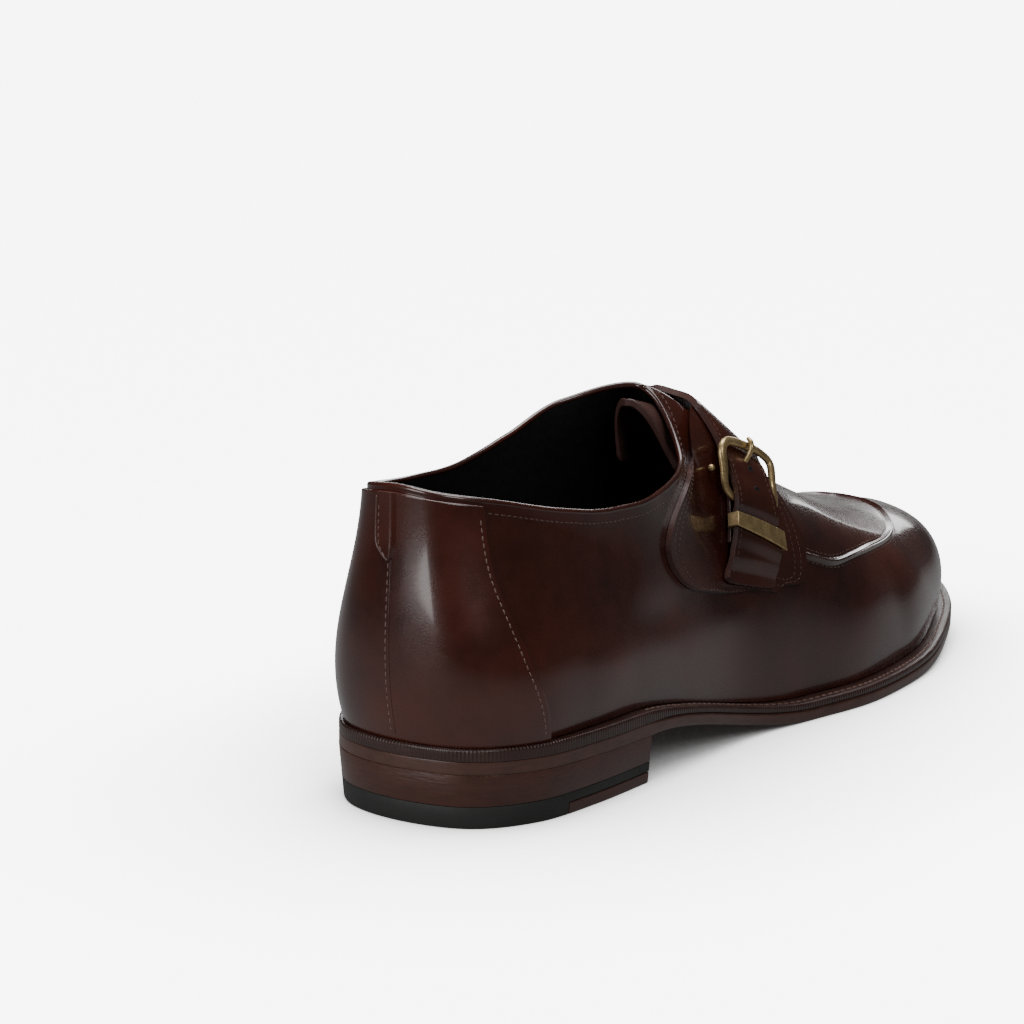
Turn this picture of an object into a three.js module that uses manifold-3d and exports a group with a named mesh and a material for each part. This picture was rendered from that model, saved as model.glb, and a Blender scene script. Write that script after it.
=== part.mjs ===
// Monk strap shoe for the right foot, standing empty on its sole.
// Millimetres, +Z up, +Y towards the toe, +X towards the little toe.
// Every piece hangs on two things: the outline of the sole and the form of the last,
// both written as one row per section from the back of the heel (0) to the tip of the toe (14).

import * as THREE from 'three';
import { mergeVertices } from 'three/addons/utils/BufferGeometryUtils.js';
import Module from 'manifold-3d';

const wasm = await Module();
wasm.setup();

// Driving dimensions of the last and sole
const SOLE_LENGTH = 300;
const BALL_WIDTH = 101;
const WAIST_WIDTH = 71;
const HEEL_WIDTH = 76;
const HEEL_LENGTH = 71;
const RAND_THINS = HEEL_LENGTH - 8;
const RAND_THINNED = HEEL_LENGTH + 22;
const HEEL_HEIGHT = 14.4;
const HEEL_PITCH = 0.02;
const TOE_SPRING = 10;
const TREAD_START = 158;
const TREAD_END = 196;
const BACK_RISE = 70;
const INSTEP_RISE = 94;
const BALL_RISE = 55;

// Driving dimensions of the layers
const GAP = 0.3;
const SKIN_GAP = 0.45;
const LAYER_GAP = 0.5;
const OUTSOLE = 3.7;
const WELT = 2.1;
const RAND = 3.4;
const WALL = 1.8;
const BAND_JOINT = 0.02;
const INSOLE_STEP = 1.6;
const WELT_LEDGE = 6;
const LAST_SWELL = 7;
const EDGE_BEVEL = 0.8;
const TOP_PIECE = 6.4;
const HEEL_TAPER = 1.2;
const CORNER_SLAB = 3.4;
const CORNER_START = 33;

// Driving dimensions of the overlays and fastening
const COUNTER = 1.0;
const BACK_TAB = 0.9;
const BACK_TAB_WIDTH = 15;
const TAB_LATERAL = 0.5;
const SADDLE = 1.2;
const SADDLE_GAP = 0.7;
const SEAM_WIDTH = 3.6;
const SEAM_HEIGHT = 1.7;
const TONGUE = 2.4;
const TONGUE_GAP = 2.9;
const TONGUE_CORE = 36;
const TONGUE_REACH = 12;
const TONGUE_RISE = 3.5;
const STRAP = 2.0;
const STRAP_LIFT = 2.25;
const STRAP_STIFFNESS = 0.8;
const STRAP_TIP = 0.36;
const CHAPE = 1.1;
const CHAPE_GAP = 0.7;
const FRAME_WIDTH = 2.9;
const FRAME_HEIGHT = 2.3;
const HINGE_ROD = 2.0;
const BUCKLE_SIDE_PLAY = 0.6;
const BAR_BOW = 0.6;
const PRONG_ROD = 1.7;
const PRONG_TIP = 2.4;
const KEEPER_PLATE = 1.0;
const KEEPER_BACK = 0.7;
const KEEPER_WIDTH = 3.8;

// How finely the rows of the section table are followed
const COLUMNS = 40;
const RINGS = 9;
const RING_STEPS = 32;
const ROD_CORNERS = 8;
const PRONG_STEPS = 12;
const SEAM_STEPS = 44;

// One row per section of the last. Widths and across are shares of half the size in `of`,
// runs are shares of SOLE_LENGTH and rises are shares of the size in `rise`,
// measured up from the feather edge of that section.
// lat and med are the outline of the sole, top the ridge of the vamp or the edge of the collar.
const SECTIONS = [
  { of: HEEL_WIDTH, lat: 0.0, latRun: 0.0, med: 0.0, medRun: 0.0,
    rise: BACK_RISE, latTop: -0.08, latTopRun: 0.018, latRise: 1.0,
    medTop: 0.08, medTopRun: 0.018, medRise: 1.0 },
  { of: HEEL_WIDTH, lat: 0.574, latRun: 0.017, med: 0.558, medRun: 0.017,
    rise: BACK_RISE, latTop: 0.26, latTopRun: 0.027, latRise: 0.98,
    medTop: 0.4, medTopRun: 0.031, medRise: 0.98 },
  { of: HEEL_WIDTH, lat: 0.905, latRun: 0.073, med: 0.9, medRun: 0.073,
    rise: BACK_RISE, latTop: 0.55, latTopRun: 0.073, latRise: 0.94,
    medTop: 0.63, medTopRun: 0.08, medRise: 0.94 },
  { of: HEEL_WIDTH, lat: 1.008, latRun: 0.15, med: 0.995, medRun: 0.15,
    rise: BACK_RISE, latTop: 0.68, latTopRun: 0.15, latRise: 0.866,
    medTop: 0.74, medTopRun: 0.157, medRise: 0.909 },
  { of: HEEL_WIDTH, lat: 1.035, latRun: 0.24, med: 0.91, medRun: 0.24,
    rise: BACK_RISE, latTop: 0.72, latTopRun: 0.23, latRise: 0.823,
    medTop: 0.74, medTopRun: 0.233, medRise: 0.923 },
  { of: WAIST_WIDTH, lat: 1.113, latRun: 0.333, med: 0.859, medRun: 0.333,
    rise: INSTEP_RISE, latTop: 0.76, latTopRun: 0.307, latRise: 0.663,
    medTop: 0.745, medTopRun: 0.303, medRise: 0.79 },
  { of: WAIST_WIDTH, lat: 1.127, latRun: 0.427, med: 0.901, medRun: 0.433,
    rise: INSTEP_RISE, latTop: 0.56, latTopRun: 0.393, latRise: 0.805,
    medTop: 0.56, medTopRun: 0.373, medRise: 0.957 },
  { of: WAIST_WIDTH, lat: 1.262, latRun: 0.513, med: 1.07, medRun: 0.527,
    rise: INSTEP_RISE, latTop: 0.0, latTopRun: 0.422, latRise: 1.045,
    medTop: 0.0, medTopRun: 0.422, medRise: 1.045 },
  { of: BALL_WIDTH, lat: 0.996, latRun: 0.6, med: 0.911, medRun: 0.627,
    rise: INSTEP_RISE, latTop: -0.04, latTopRun: 0.5, latRise: 0.832,
    medTop: 0.04, medTopRun: 0.5, medRise: 0.832 },
  { of: BALL_WIDTH, lat: 1.0, latRun: 0.677, med: 0.994, medRun: 0.713,
    rise: INSTEP_RISE, latTop: -0.08, latTopRun: 0.587, latRise: 0.705,
    medTop: 0.08, medTopRun: 0.587, medRise: 0.705 },
  { of: BALL_WIDTH, lat: 0.947, latRun: 0.76, med: 0.966, medRun: 0.773,
    rise: BALL_RISE, latTop: -0.12, latTopRun: 0.667, latRise: 0.993,
    medTop: 0.12, medTopRun: 0.667, medRise: 0.993 },
  { of: BALL_WIDTH, lat: 0.802, latRun: 0.84, med: 0.871, medRun: 0.853,
    rise: BALL_RISE, latTop: -0.14, latTopRun: 0.74, latRise: 0.82,
    medTop: 0.14, medTopRun: 0.74, medRise: 0.82 },
  { of: BALL_WIDTH, lat: 0.584, latRun: 0.923, med: 0.697, medRun: 0.93,
    rise: BALL_RISE, latTop: -0.14, latTopRun: 0.81, latRise: 0.682,
    medTop: 0.14, medTopRun: 0.81, medRise: 0.682 },
  { of: BALL_WIDTH, lat: 0.283, latRun: 0.98, med: 0.41, medRun: 0.983,
    rise: BALL_RISE, latTop: -0.12, latTopRun: 0.87, latRise: 0.569,
    medTop: 0.12, medTopRun: 0.87, medRise: 0.569 },
  { of: BALL_WIDTH, lat: -0.079, latRun: 1.0, med: 0.079, medRun: 1.0,
    rise: BALL_RISE, latTop: -0.1, latTopRun: 0.92, latRise: 0.5,
    medTop: 0.1, medTopRun: 0.92, medRise: 0.5 },
];
const LAST_ROW = SECTIONS.length - 1;
const THROAT_ROW = LAST_ROW / 2;

// How the wall runs from the feather edge up to the top line in each section.
// ledge is the welt left bare, a share of WELT_LEDGE; swell is how far the wall leans out,
// a share of LAST_SWELL, at the share of the rise in hip; crown and inCrown are how far the flat
// of the top reaches out on the lateral and the medial side; drop is how far a collar's wall
// hangs straight down; fall is the ridge's slope.
const WALLS = [
  { ledge: 0.45, swell: 1.0, hip: 0.36, crown: 0.0, inCrown: 0.0, drop: 0.38, fall: 0 },
  { ledge: 0.45, swell: 1.0, hip: 0.36, crown: 0.03, inCrown: 0.03, drop: 0.38, fall: 0 },
  { ledge: 0.45, swell: 0.93, hip: 0.36, crown: 0.03, inCrown: 0.03, drop: 0.38, fall: 0 },
  { ledge: 0.55, swell: 0.7, hip: 0.36, crown: 0.0, inCrown: 0.0, drop: 0.38, fall: 0 },
  { ledge: 0.67, swell: 0.4, hip: 0.36, crown: 0.0, inCrown: 0.0, drop: 0.4, fall: 0 },
  { ledge: 0.87, swell: 0.17, hip: 0.38, crown: 0.0, inCrown: 0.0, drop: 0.4, fall: 0 },
  { ledge: 1.03, swell: 0.14, hip: 0.42, crown: 0.1, inCrown: 0.2, drop: 0.32, fall: -0.15 },
  { ledge: 1.03, swell: 0.21, hip: 0.46, crown: 0.45, inCrown: 0.53, drop: 0.0, fall: -0.42 },
  { ledge: 1.0, swell: 0.4, hip: 0.5, crown: 0.55, inCrown: 0.58, drop: 0.0, fall: -0.53 },
  { ledge: 0.97, swell: 0.54, hip: 0.55, crown: 0.6, inCrown: 0.6, drop: 0.0, fall: -0.56 },
  { ledge: 0.93, swell: 0.71, hip: 0.6, crown: 0.6, inCrown: 0.6, drop: 0.0, fall: -0.41 },
  { ledge: 0.87, swell: 0.93, hip: 0.66, crown: 0.58, inCrown: 0.58, drop: 0.0, fall: -0.28 },
  { ledge: 0.8, swell: 1.07, hip: 0.72, crown: 0.56, inCrown: 0.56, drop: 0.0, fall: -0.21 },
  { ledge: 0.73, swell: 1.11, hip: 0.76, crown: 0.54, inCrown: 0.54, drop: 0.0, fall: -0.21 },
  { ledge: 0.7, swell: 1.14, hip: 0.78, crown: 0.54, inCrown: 0.54, drop: 0.0, fall: -0.23 },
];
const COLLAR_LEAN = 0.55;
const CREST_START = 0.8;
const CREST_FADE = 0.6;

const LATERAL = 1;
const MEDIAL = -1;
const SIDES = [{ side: LATERAL, name: 'lateral' }, { side: MEDIAL, name: 'medial' }];

const clamp = THREE.MathUtils.clamp;
const mix = THREE.MathUtils.lerp;
const smooth = THREE.MathUtils.smoothstep;

// Smooth curve through equally spaced values, with a guard value before and after them
function through(values, before, after, at) {
  const row = clamp(Math.floor(at), 0, values.length - 2);
  const f = at - row;
  const p0 = row > 0 ? values[row - 1] : before;
  const p1 = values[row];
  const p2 = values[row + 1];
  const p3 = row < values.length - 2 ? values[row + 2] : after;
  const bend = 2 * p0 - 5 * p1 + 4 * p2 - p3;
  const twist = 3 * p1 - p0 - 3 * p2 + p3;
  return 0.5 * (2 * p1 + (p2 - p0) * f + bend * f * f + twist * f * f * f);
}

const wallColumn = (name) => WALLS.map((row) => row[name]);
function wallAt(name, u) {
  const values = wallColumn(name);
  return through(values, values[1], values[LAST_ROW - 1], u);
}

// Outline of the sole as x and y lists for one side
function outlineLists(side) {
  const [width, run] = side === LATERAL ? ['lat', 'latRun'] : ['med', 'medRun'];
  return {
    x: SECTIONS.map((row) => side * row[width] * row.of / 2),
    y: SECTIONS.map((row) => row[run] * SOLE_LENGTH),
  };
}
const OUTLINE = { [LATERAL]: outlineLists(LATERAL), [MEDIAL]: outlineLists(MEDIAL) };

function outlinePoint(side, u) {
  const own = OUTLINE[side];
  const other = OUTLINE[-side];
  const at = (axis) => through(own[axis], other[axis][1], other[axis][LAST_ROW - 1], u);
  return new THREE.Vector2(at('x'), at('y'));
}

// Outline moved inwards by a distance
function insetPoint(side, u, inset) {
  const step = 0.02;
  const here = outlinePoint(side, u);
  const back = outlinePoint(side, Math.max(u - step, 0));
  const ahead = outlinePoint(side, Math.min(u + step, LAST_ROW));
  if (u < step || u > LAST_ROW - step) {
    return new THREE.Vector2(here.x, here.y + (u < step ? inset : -inset));
  }
  const along = ahead.sub(back).normalize();
  return new THREE.Vector2(here.x - side * along.y * inset, here.y + side * along.x * inset);
}

// Heights of the sole above the floor
function outsoleUnderside(y) {
  if (y < HEEL_LENGTH) {
    return HEEL_HEIGHT + (HEEL_LENGTH - y) * HEEL_PITCH;
  }
  if (y < TREAD_START) {
    return HEEL_HEIGHT * (1 - smooth(y, HEEL_LENGTH, TREAD_START));
  }
  const lift = clamp((y - TREAD_END) / (SOLE_LENGTH - TREAD_END), 0, 1);
  return TOE_SPRING * lift * lift;
}
const outsoleTop = (y) => outsoleUnderside(y) + OUTSOLE;
const bandThickness = (y) => mix(RAND, WELT, smooth(y, RAND_THINS, RAND_THINNED));
const bandTop = (y) => outsoleTop(y) + GAP + bandThickness(y);
const featherHeight = (y) => bandTop(y) + GAP;

function featherPoint(side, u) {
  const p = insetPoint(side, u, wallAt('ledge', u) * WELT_LEDGE);
  return new THREE.Vector3(p.x, p.y, featherHeight(p.y));
}

// Top line of the upper: collar edge up to the throat, then the ridge of the vamp
function topLists(side) {
  const key = side === LATERAL ? 'lat' : 'med';
  return {
    x: SECTIONS.map((row) => side * row[`${key}Top`] * row.of / 2),
    y: SECTIONS.map((row) => row[`${key}TopRun`] * SOLE_LENGTH),
    rise: SECTIONS.map((row) => row[`${key}Rise`] * row.rise),
  };
}
const TOP = { [LATERAL]: topLists(LATERAL), [MEDIAL]: topLists(MEDIAL) };

function topPoint(side, u) {
  const own = TOP[side];
  const other = TOP[-side];
  const collar = (axis) => through(own[axis].slice(0, THROAT_ROW + 1), other[axis][1],
    other[axis][THROAT_ROW - 1], u);
  const ridge = (axis) => {
    const row = own[axis].slice(THROAT_ROW);
    const n = row.length;
    return through(row, 2 * row[0] - row[1], 2 * row[n - 1] - row[n - 2], u - THROAT_ROW);
  };
  const at = u < THROAT_ROW ? collar : ridge;
  const base = (featherPoint(LATERAL, u).z + featherPoint(MEDIAL, u).z) / 2;
  return new THREE.Vector3(at('x'), at('y'), base + at('rise'));
}

// Point on the outside of the upper: u along the shoe, t from the feather edge to the top line
function upperPoint(side, u, t) {
  const foot = featherPoint(side, u);
  const top = topPoint(side, u);
  const rise = top.z - foot.z;
  const lean = (wallAt('ledge', u) * WELT_LEDGE) - (wallAt('swell', u) * LAST_SWELL);
  const out = insetPoint(side, u, lean);
  const hip = new THREE.Vector3(out.x, out.y, foot.z + rise * wallAt('hip', u));
  const crown = wallAt(side === LATERAL ? 'crown' : 'inCrown', u);
  const drop = wallAt('drop', u);
  const reach = crown + COLLAR_LEAN * drop;
  const shoulder = new THREE.Vector3(
    mix(top.x, foot.x, reach),
    mix(top.y, foot.y, reach),
    top.z + crown * (foot.y - top.y) * wallAt('fall', u) - drop * rise);
  return new THREE.CubicBezierCurve3(foot, hip, shoulder, top).getPoint(t);
}

function upperNormal(side, u, t) {
  const step = 0.01;
  const du = upperPoint(side, Math.min(u + step, LAST_ROW), t)
    .sub(upperPoint(side, Math.max(u - step, 0), t));
  const dt = upperPoint(side, u, Math.min(t + step, 1))
    .sub(upperPoint(side, u, Math.max(t - step, 0)));
  return du.cross(dt).multiplyScalar(side).normalize();
}

// Point at a height over the upper; towards the ridge both sides come to share one direction
function offUpper(side, u, t, lift) {
  const normal = upperNormal(side, u, t);
  const shared = smooth(t, CREST_START, 1) * smooth(u, THROAT_ROW - CREST_FADE, THROAT_ROW);
  const crest = normal.clone().add(upperNormal(-side, u, t)).normalize();
  normal.lerp(crest, shared).normalize();
  return upperPoint(side, u, t).addScaledVector(normal, lift);
}

// Closed solid from a list of points and faces
function solid(points, faces) {
  const geometry = new THREE.BufferGeometry();
  const flat = points.flatMap((p) => [p.x, p.y, p.z]);
  geometry.setAttribute('position', new THREE.Float32BufferAttribute(flat, 3));
  geometry.setIndex(faces.flat());
  return geometry;
}

// Solid through a row of like polygons, closed along its run or capped at both ends
function loft(sections, closedRun = false) {
  const count = sections[0].length;
  const points = sections.flat();
  const faces = [];
  const last = closedRun ? sections.length : sections.length - 1;
  for (let i = 0; i < last; i += 1) {
    const next = (i + 1) % sections.length;
    for (let j = 0; j < count; j += 1) {
      const k = (j + 1) % count;
      const a = i * count + j;
      const b = i * count + k;
      const c = next * count + k;
      const d = next * count + j;
      faces.push([a, b, c], [a, c, d]);
    }
  }
  if (!closedRun) {
    const end = (sections.length - 1) * count;
    const half = count / 2;
    for (let j = 0; j < half - 1; j += 1) {
      const across = count - 1 - j;
      faces.push([j, across, j + 1], [j + 1, across, across - 1]);
      faces.push([end + j, end + j + 1, end + across], [end + j + 1, end + across - 1, end + across]);
    }
  }
  return outward(solid(points, faces));
}

// Turns a closed solid so that its faces look out
function outward(geometry) {
  const p = geometry.getAttribute('position');
  const index = geometry.getIndex();
  const corner = (i) => new THREE.Vector3().fromBufferAttribute(p, index.getX(i));
  let volume = 0;
  for (let i = 0; i < index.count; i += 3) {
    volume += corner(i).dot(corner(i + 1).cross(corner(i + 2)));
  }
  if (volume < 0) {
    for (let i = 0; i < index.count; i += 3) {
      const first = index.getX(i);
      index.setX(i, index.getX(i + 1));
      index.setX(i + 1, first);
    }
  }
  return geometry;
}

// Sheet of even thickness from a function of two shares, lift being the height of a face
function sheet(at, runs, acrosses, low, high) {
  const sections = runs.map((run) => [
    ...acrosses.map((across) => at(run, across, high)),
    ...[...acrosses].reverse().map((across) => at(run, across, low)),
  ]);
  return loft(sections);
}

// Row of a table read smoothly between its rows, at a share of its length
function tableRow(rows, share) {
  const at = share * (rows.length - 1);
  const read = (name) => {
    const values = rows.map((row) => row[name]);
    const n = values.length;
    return through(values, 2 * values[0] - values[1], 2 * values[n - 1] - values[n - 2], at);
  };
  return Object.fromEntries(Object.keys(rows[0]).map((name) => [name, read(name)]));
}

const shares = (count, from = 0, to = 1) =>
  Array.from({ length: count + 1 }, (_, i) => mix(from, to, i / count));

// Flat layer of the sole. edge lists its side from the underside up as inset and height.
// ends are the rows where each side stops; the full length runs to the toe.
function soleLayer(edge, ends = { [LATERAL]: LAST_ROW, [MEDIAL]: LAST_ROW }) {
  const whole = ends[LATERAL] === LAST_ROW;
  const stations = shares(Math.ceil(COLUMNS * ends[LATERAL] / LAST_ROW));
  const rings = edge.map(({ inset, height }) => {
    const place = (side, share) => {
      const u = ends[side] * share;
      const p = insetPoint(side, u, inset(u));
      return new THREE.Vector3(p.x, p.y, height(p.y));
    };
    const lateral = stations.map((share) => place(LATERAL, share));
    const medial = stations.map((share) => place(MEDIAL, share));
    return [...lateral, ...medial.slice(1, whole ? -1 : undefined).reverse()];
  });
  const count = rings[0].length;
  const faces = [];
  for (let r = 0; r < rings.length - 1; r += 1) {
    for (let j = 0; j < count; j += 1) {
      const a = r * count + j;
      const b = r * count + (j + 1) % count;
      faces.push([a, b, b + count], [a, b + count, a + count]);
    }
  }
  const cap = (base) => {
    for (let near = 0, far = count; far - near > 1; near += 1, far -= 1) {
      const corners = [near, near + 1, far - 1, far % count].map((j) => base + j);
      if (near + 1 < far - 1) {
        faces.push([corners[0], corners[1], corners[2]]);
      }
      if (near > 0) {
        faces.push([corners[0], corners[2], corners[3]]);
      }
    }
  };
  const turn = faces.length;
  cap(0);
  faces.slice(turn).forEach((face) => face.reverse());
  cap((rings.length - 1) * count);
  return outward(solid(rings.flat(), faces));
}

// Row at which one side of the outline reaches a run from the heel
function rowAt(side, run) {
  let low = 0;
  let high = LAST_ROW;
  for (let i = 0; i < 40; i += 1) {
    const middle = (low + high) / 2;
    if (outlinePoint(side, middle).y < run) {
      low = middle;
    } else {
      high = middle;
    }
  }
  return low;
}

// Solid to boolean form and back
function toManifold(geometry) {
  const bare = geometry.clone();
  bare.deleteAttribute('normal');
  bare.deleteAttribute('uv');
  const merged = mergeVertices(bare, 1e-4);
  return new wasm.Manifold(new wasm.Mesh({
    numProp: 3,
    vertProperties: new Float32Array(merged.getAttribute('position').array),
    triVerts: new Uint32Array(merged.getIndex().array),
  }));
}
function fromManifold(body) {
  const mesh = body.getMesh();
  const geometry = new THREE.BufferGeometry();
  geometry.setAttribute('position', new THREE.BufferAttribute(new Float32Array(mesh.vertProperties), 3));
  geometry.setIndex(new THREE.BufferAttribute(new Uint32Array(mesh.triVerts), 1));
  return geometry;
}

// Upper: one hollow wall, open at the collar and underneath
function makeUpper() {
  const rowsU = shares(COLUMNS, 0, LAST_ROW);
  const rowsT = shares(RINGS);
  const points = [];
  const key = new Map();
  const id = (side, i, m) => {
    const end = i === 0 || i === COLUMNS;
    const ridge = m === RINGS && rowsU[i] >= THROAT_ROW;
    const shared = end || ridge ? LATERAL : side;
    const name = `${shared}/${i}/${m}`;
    if (!key.has(name)) {
      key.set(name, points.length);
      points.push(upperPoint(shared, rowsU[i], rowsT[m]));
    }
    return key.get(name);
  };
  const outer = [];
  for (const { side } of SIDES) {
    for (let i = 0; i < COLUMNS; i += 1) {
      for (let m = 0; m < RINGS; m += 1) {
        const a = id(side, i, m);
        const b = id(side, i + 1, m);
        const c = id(side, i + 1, m + 1);
        const d = id(side, i, m + 1);
        const quad = side === LATERAL ? [[a, b, c], [a, c, d]] : [[a, c, b], [a, d, c]];
        outer.push(...quad.filter(([p, q, r]) => p !== q && q !== r && p !== r));
      }
    }
  }
  const skin = solid(points, outer);
  skin.computeVertexNormals();
  const normals = skin.getAttribute('normal');
  const feet = new Set();
  for (const { side } of SIDES) {
    for (let i = 0; i <= COLUMNS; i += 1) {
      feet.add(id(side, i, 0));
    }
  }
  const inner = points.map((p, i) => {
    const n = new THREE.Vector3().fromBufferAttribute(normals, i);
    if (feet.has(i)) {
      n.setZ(0).normalize();
    }
    return p.clone().addScaledVector(n, -WALL);
  });
  const count = points.length;
  const faces = [...outer, ...outer.map(([a, b, c]) => [a + count, c + count, b + count])];
  const edges = new Map();
  for (const [a, b, c] of outer) {
    for (const [p, q] of [[a, b], [b, c], [c, a]]) {
      edges.set(`${p}/${q}`, [p, q]);
    }
  }
  for (const [p, q] of edges.values()) {
    if (!edges.has(`${q}/${p}`)) {
      faces.push([q, p, p + count], [q, p + count, q + count]);
    }
  }
  return outward(solid([...points, ...inner], faces));
}

// Band of the welt or rand around part of the outline, its inner edge under the wall of the upper
function makeBand(stations) {
  const inner = (u) => wallAt('ledge', u) * WELT_LEDGE + WALL;
  const sections = stations.map(([side, u]) => {
    const at = (inset, height) => {
      const p = insetPoint(side, u, inset);
      return new THREE.Vector3(p.x, p.y, height(p.y));
    };
    const low = (y) => outsoleTop(y) + GAP;
    return [
      at(0, low),
      at(0, (y) => bandTop(y) - EDGE_BEVEL),
      at(EDGE_BEVEL, bandTop),
      at(inner(u), bandTop),
      at(inner(u), (y) => (low(y) + bandTop(y)) / 2),
      at(inner(u), low),
    ];
  });
  return loft(sections);
}

const breastRow = { [LATERAL]: rowAt(LATERAL, HEEL_LENGTH), [MEDIAL]: rowAt(MEDIAL, HEEL_LENGTH) };

function weltStations() {
  const start = (side) => breastRow[side] + BAND_JOINT;
  const half = Math.round(COLUMNS * 0.75);
  return [
    ...shares(half, start(LATERAL), LAST_ROW).map((u) => [LATERAL, u]),
    ...shares(half, LAST_ROW, start(MEDIAL)).slice(1).map((u) => [MEDIAL, u]),
  ];
}
function randStations() {
  const start = (side) => breastRow[side] - BAND_JOINT;
  const half = Math.round(COLUMNS * 0.3);
  return [
    ...shares(half, start(MEDIAL), 0).map((u) => [MEDIAL, u]),
    ...shares(half, 0, start(LATERAL)).slice(1).map((u) => [LATERAL, u]),
  ];
}

// Sole and heel
const outsoleEdge = [
  { inset: () => EDGE_BEVEL, height: outsoleUnderside },
  { inset: () => 0, height: (y) => outsoleUnderside(y) + EDGE_BEVEL },
  { inset: () => 0, height: outsoleTop },
];
const insoleInset = (u) => wallAt('ledge', u) * WELT_LEDGE + WALL + GAP;
const insoleEdge = [
  { inset: insoleInset, height: (y) => outsoleTop(y) + GAP },
  { inset: insoleInset, height: (y) => featherHeight(y) + INSOLE_STEP },
];
const taperAt = (z) => HEEL_TAPER * (1 - z / HEEL_HEIGHT);
const heelEdge = [
  { inset: () => taperAt(TOP_PIECE + GAP), height: () => TOP_PIECE + GAP },
  { inset: () => 0, height: (y) => outsoleUnderside(y) - GAP },
];
const topPieceEdge = [
  { inset: () => HEEL_TAPER, height: () => 0 },
  { inset: () => taperAt(TOP_PIECE), height: () => TOP_PIECE },
];

function makeTopPiece() {
  const block = toManifold(soleLayer(topPieceEdge, breastRow));
  const length = HEEL_LENGTH - CORNER_START;
  const room = new THREE.BoxGeometry(2 * HEEL_WIDTH, 2 * length, 2 * (CORNER_SLAB + GAP));
  room.translate(0, HEEL_LENGTH, 0);
  return fromManifold(block.subtract(toManifold(room)));
}
function makeTopPieceCorner() {
  const block = toManifold(soleLayer(topPieceEdge, breastRow));
  const length = HEEL_LENGTH - CORNER_START - GAP;
  const keep = new THREE.BoxGeometry(2 * HEEL_WIDTH, 2 * length, 2 * CORNER_SLAB);
  keep.translate(0, HEEL_LENGTH, 0);
  return fromManifold(block.intersect(toManifold(keep)));
}

// Heel counter: wraps the back from one slanting seam to the other.
// seam is the row of its front edge and at the share of the rise.
const COUNTER_SEAM = [
  { at: 0.02, seam: 2.2 },
  { at: 0.16, seam: 2.1 },
  { at: 0.31, seam: 1.95 },
  { at: 0.47, seam: 1.83 },
  { at: 0.72, seam: 1.68 },
  { at: 0.985, seam: 1.7 },
];
function makeCounter() {
  const acrosses = shares(20, -1, 1);
  const face = (row, across, lift) => {
    const side = across >= 0 ? LATERAL : MEDIAL;
    return offUpper(side, Math.abs(across) * row.seam, row.at, lift);
  };
  return sheet(face, COUNTER_SEAM, acrosses, SKIN_GAP, SKIN_GAP + COUNTER);
}

// Tab over the top of the back seam, wider on the medial side, its lower end a short point
const TAB_ROWS = [
  { at: 0.73, width: 0.12 },
  { at: 0.76, width: 0.55 },
  { at: 0.8, width: 0.9 },
  { at: 0.9, width: 1.0 },
  { at: 0.985, width: 1.0 },
];
function makeBackTab() {
  const low = SKIN_GAP + COUNTER + GAP;
  const halfRow = BACK_TAB_WIDTH / 2 / outlinePoint(LATERAL, 1).x;
  const face = (row, across, lift) => {
    const side = across >= 0 ? LATERAL : MEDIAL;
    return offUpper(side, Math.abs(across) * row.width * halfRow, row.at, lift);
  };
  return sheet(face, TAB_ROWS, shares(6, -1, TAB_LATERAL), low, low + BACK_TAB);
}

// Raised seam around the apron of the vamp, rows along it from the saddle to the toe
const APRON_SEAM = [
  { u: 7.75, t: 0.37 },
  { u: 8.15, t: 0.375 },
  { u: 8.75, t: 0.405 },
  { u: 9.35, t: 0.44 },
  { u: 10.05, t: 0.475 },
  { u: 10.75, t: 0.515 },
  { u: 11.3, t: 0.58 },
  { u: 11.8, t: 0.665 },
  { u: 12.25, t: 0.77 },
  { u: 12.7, t: 0.9 },
];
const SEAM_TOE_ROW = 13.02;
function makeApronSeam() {
  const ridge = upperPoint(LATERAL, SEAM_TOE_ROW, 1);
  const normalAtRidge = upperNormal(LATERAL, SEAM_TOE_ROW, 0.97);
  const lateral = APRON_SEAM.map(({ u, t }) => [LATERAL, u, t]);
  const medial = APRON_SEAM.map(({ u, t }) => [MEDIAL, u, t]).reverse();
  const spots = [...lateral, null, ...medial];
  const path = spots.map((spot) => (spot ? upperPoint(...spot) : ridge));
  const normals = spots.map((spot) => (spot ? upperNormal(...spot) : normalAtRidge));
  const curve = new THREE.CatmullRomCurve3(path, false, 'catmullrom', 0.5);
  const normalCurve = new THREE.CatmullRomCurve3(normals, false, 'catmullrom', 0.5);
  const half = SEAM_WIDTH / 2;
  const low = SKIN_GAP;
  const bead = [[-half, low], [-half * 0.8, low + SEAM_HEIGHT * 0.65], [0, low + SEAM_HEIGHT],
    [half * 0.8, low + SEAM_HEIGHT * 0.65], [half, low], [0, low]];
  const sections = shares(SEAM_STEPS).map((share) => {
    const centre = curve.getPoint(share);
    const normal = normalCurve.getPoint(share).normalize();
    const along = curve.getTangent(share);
    const across = new THREE.Vector3().crossVectors(normal, along).normalize();
    return bead.map(([x, z]) => centre.clone().addScaledVector(across, x).addScaledVector(normal, z));
  });
  return loft(sections);
}

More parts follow.
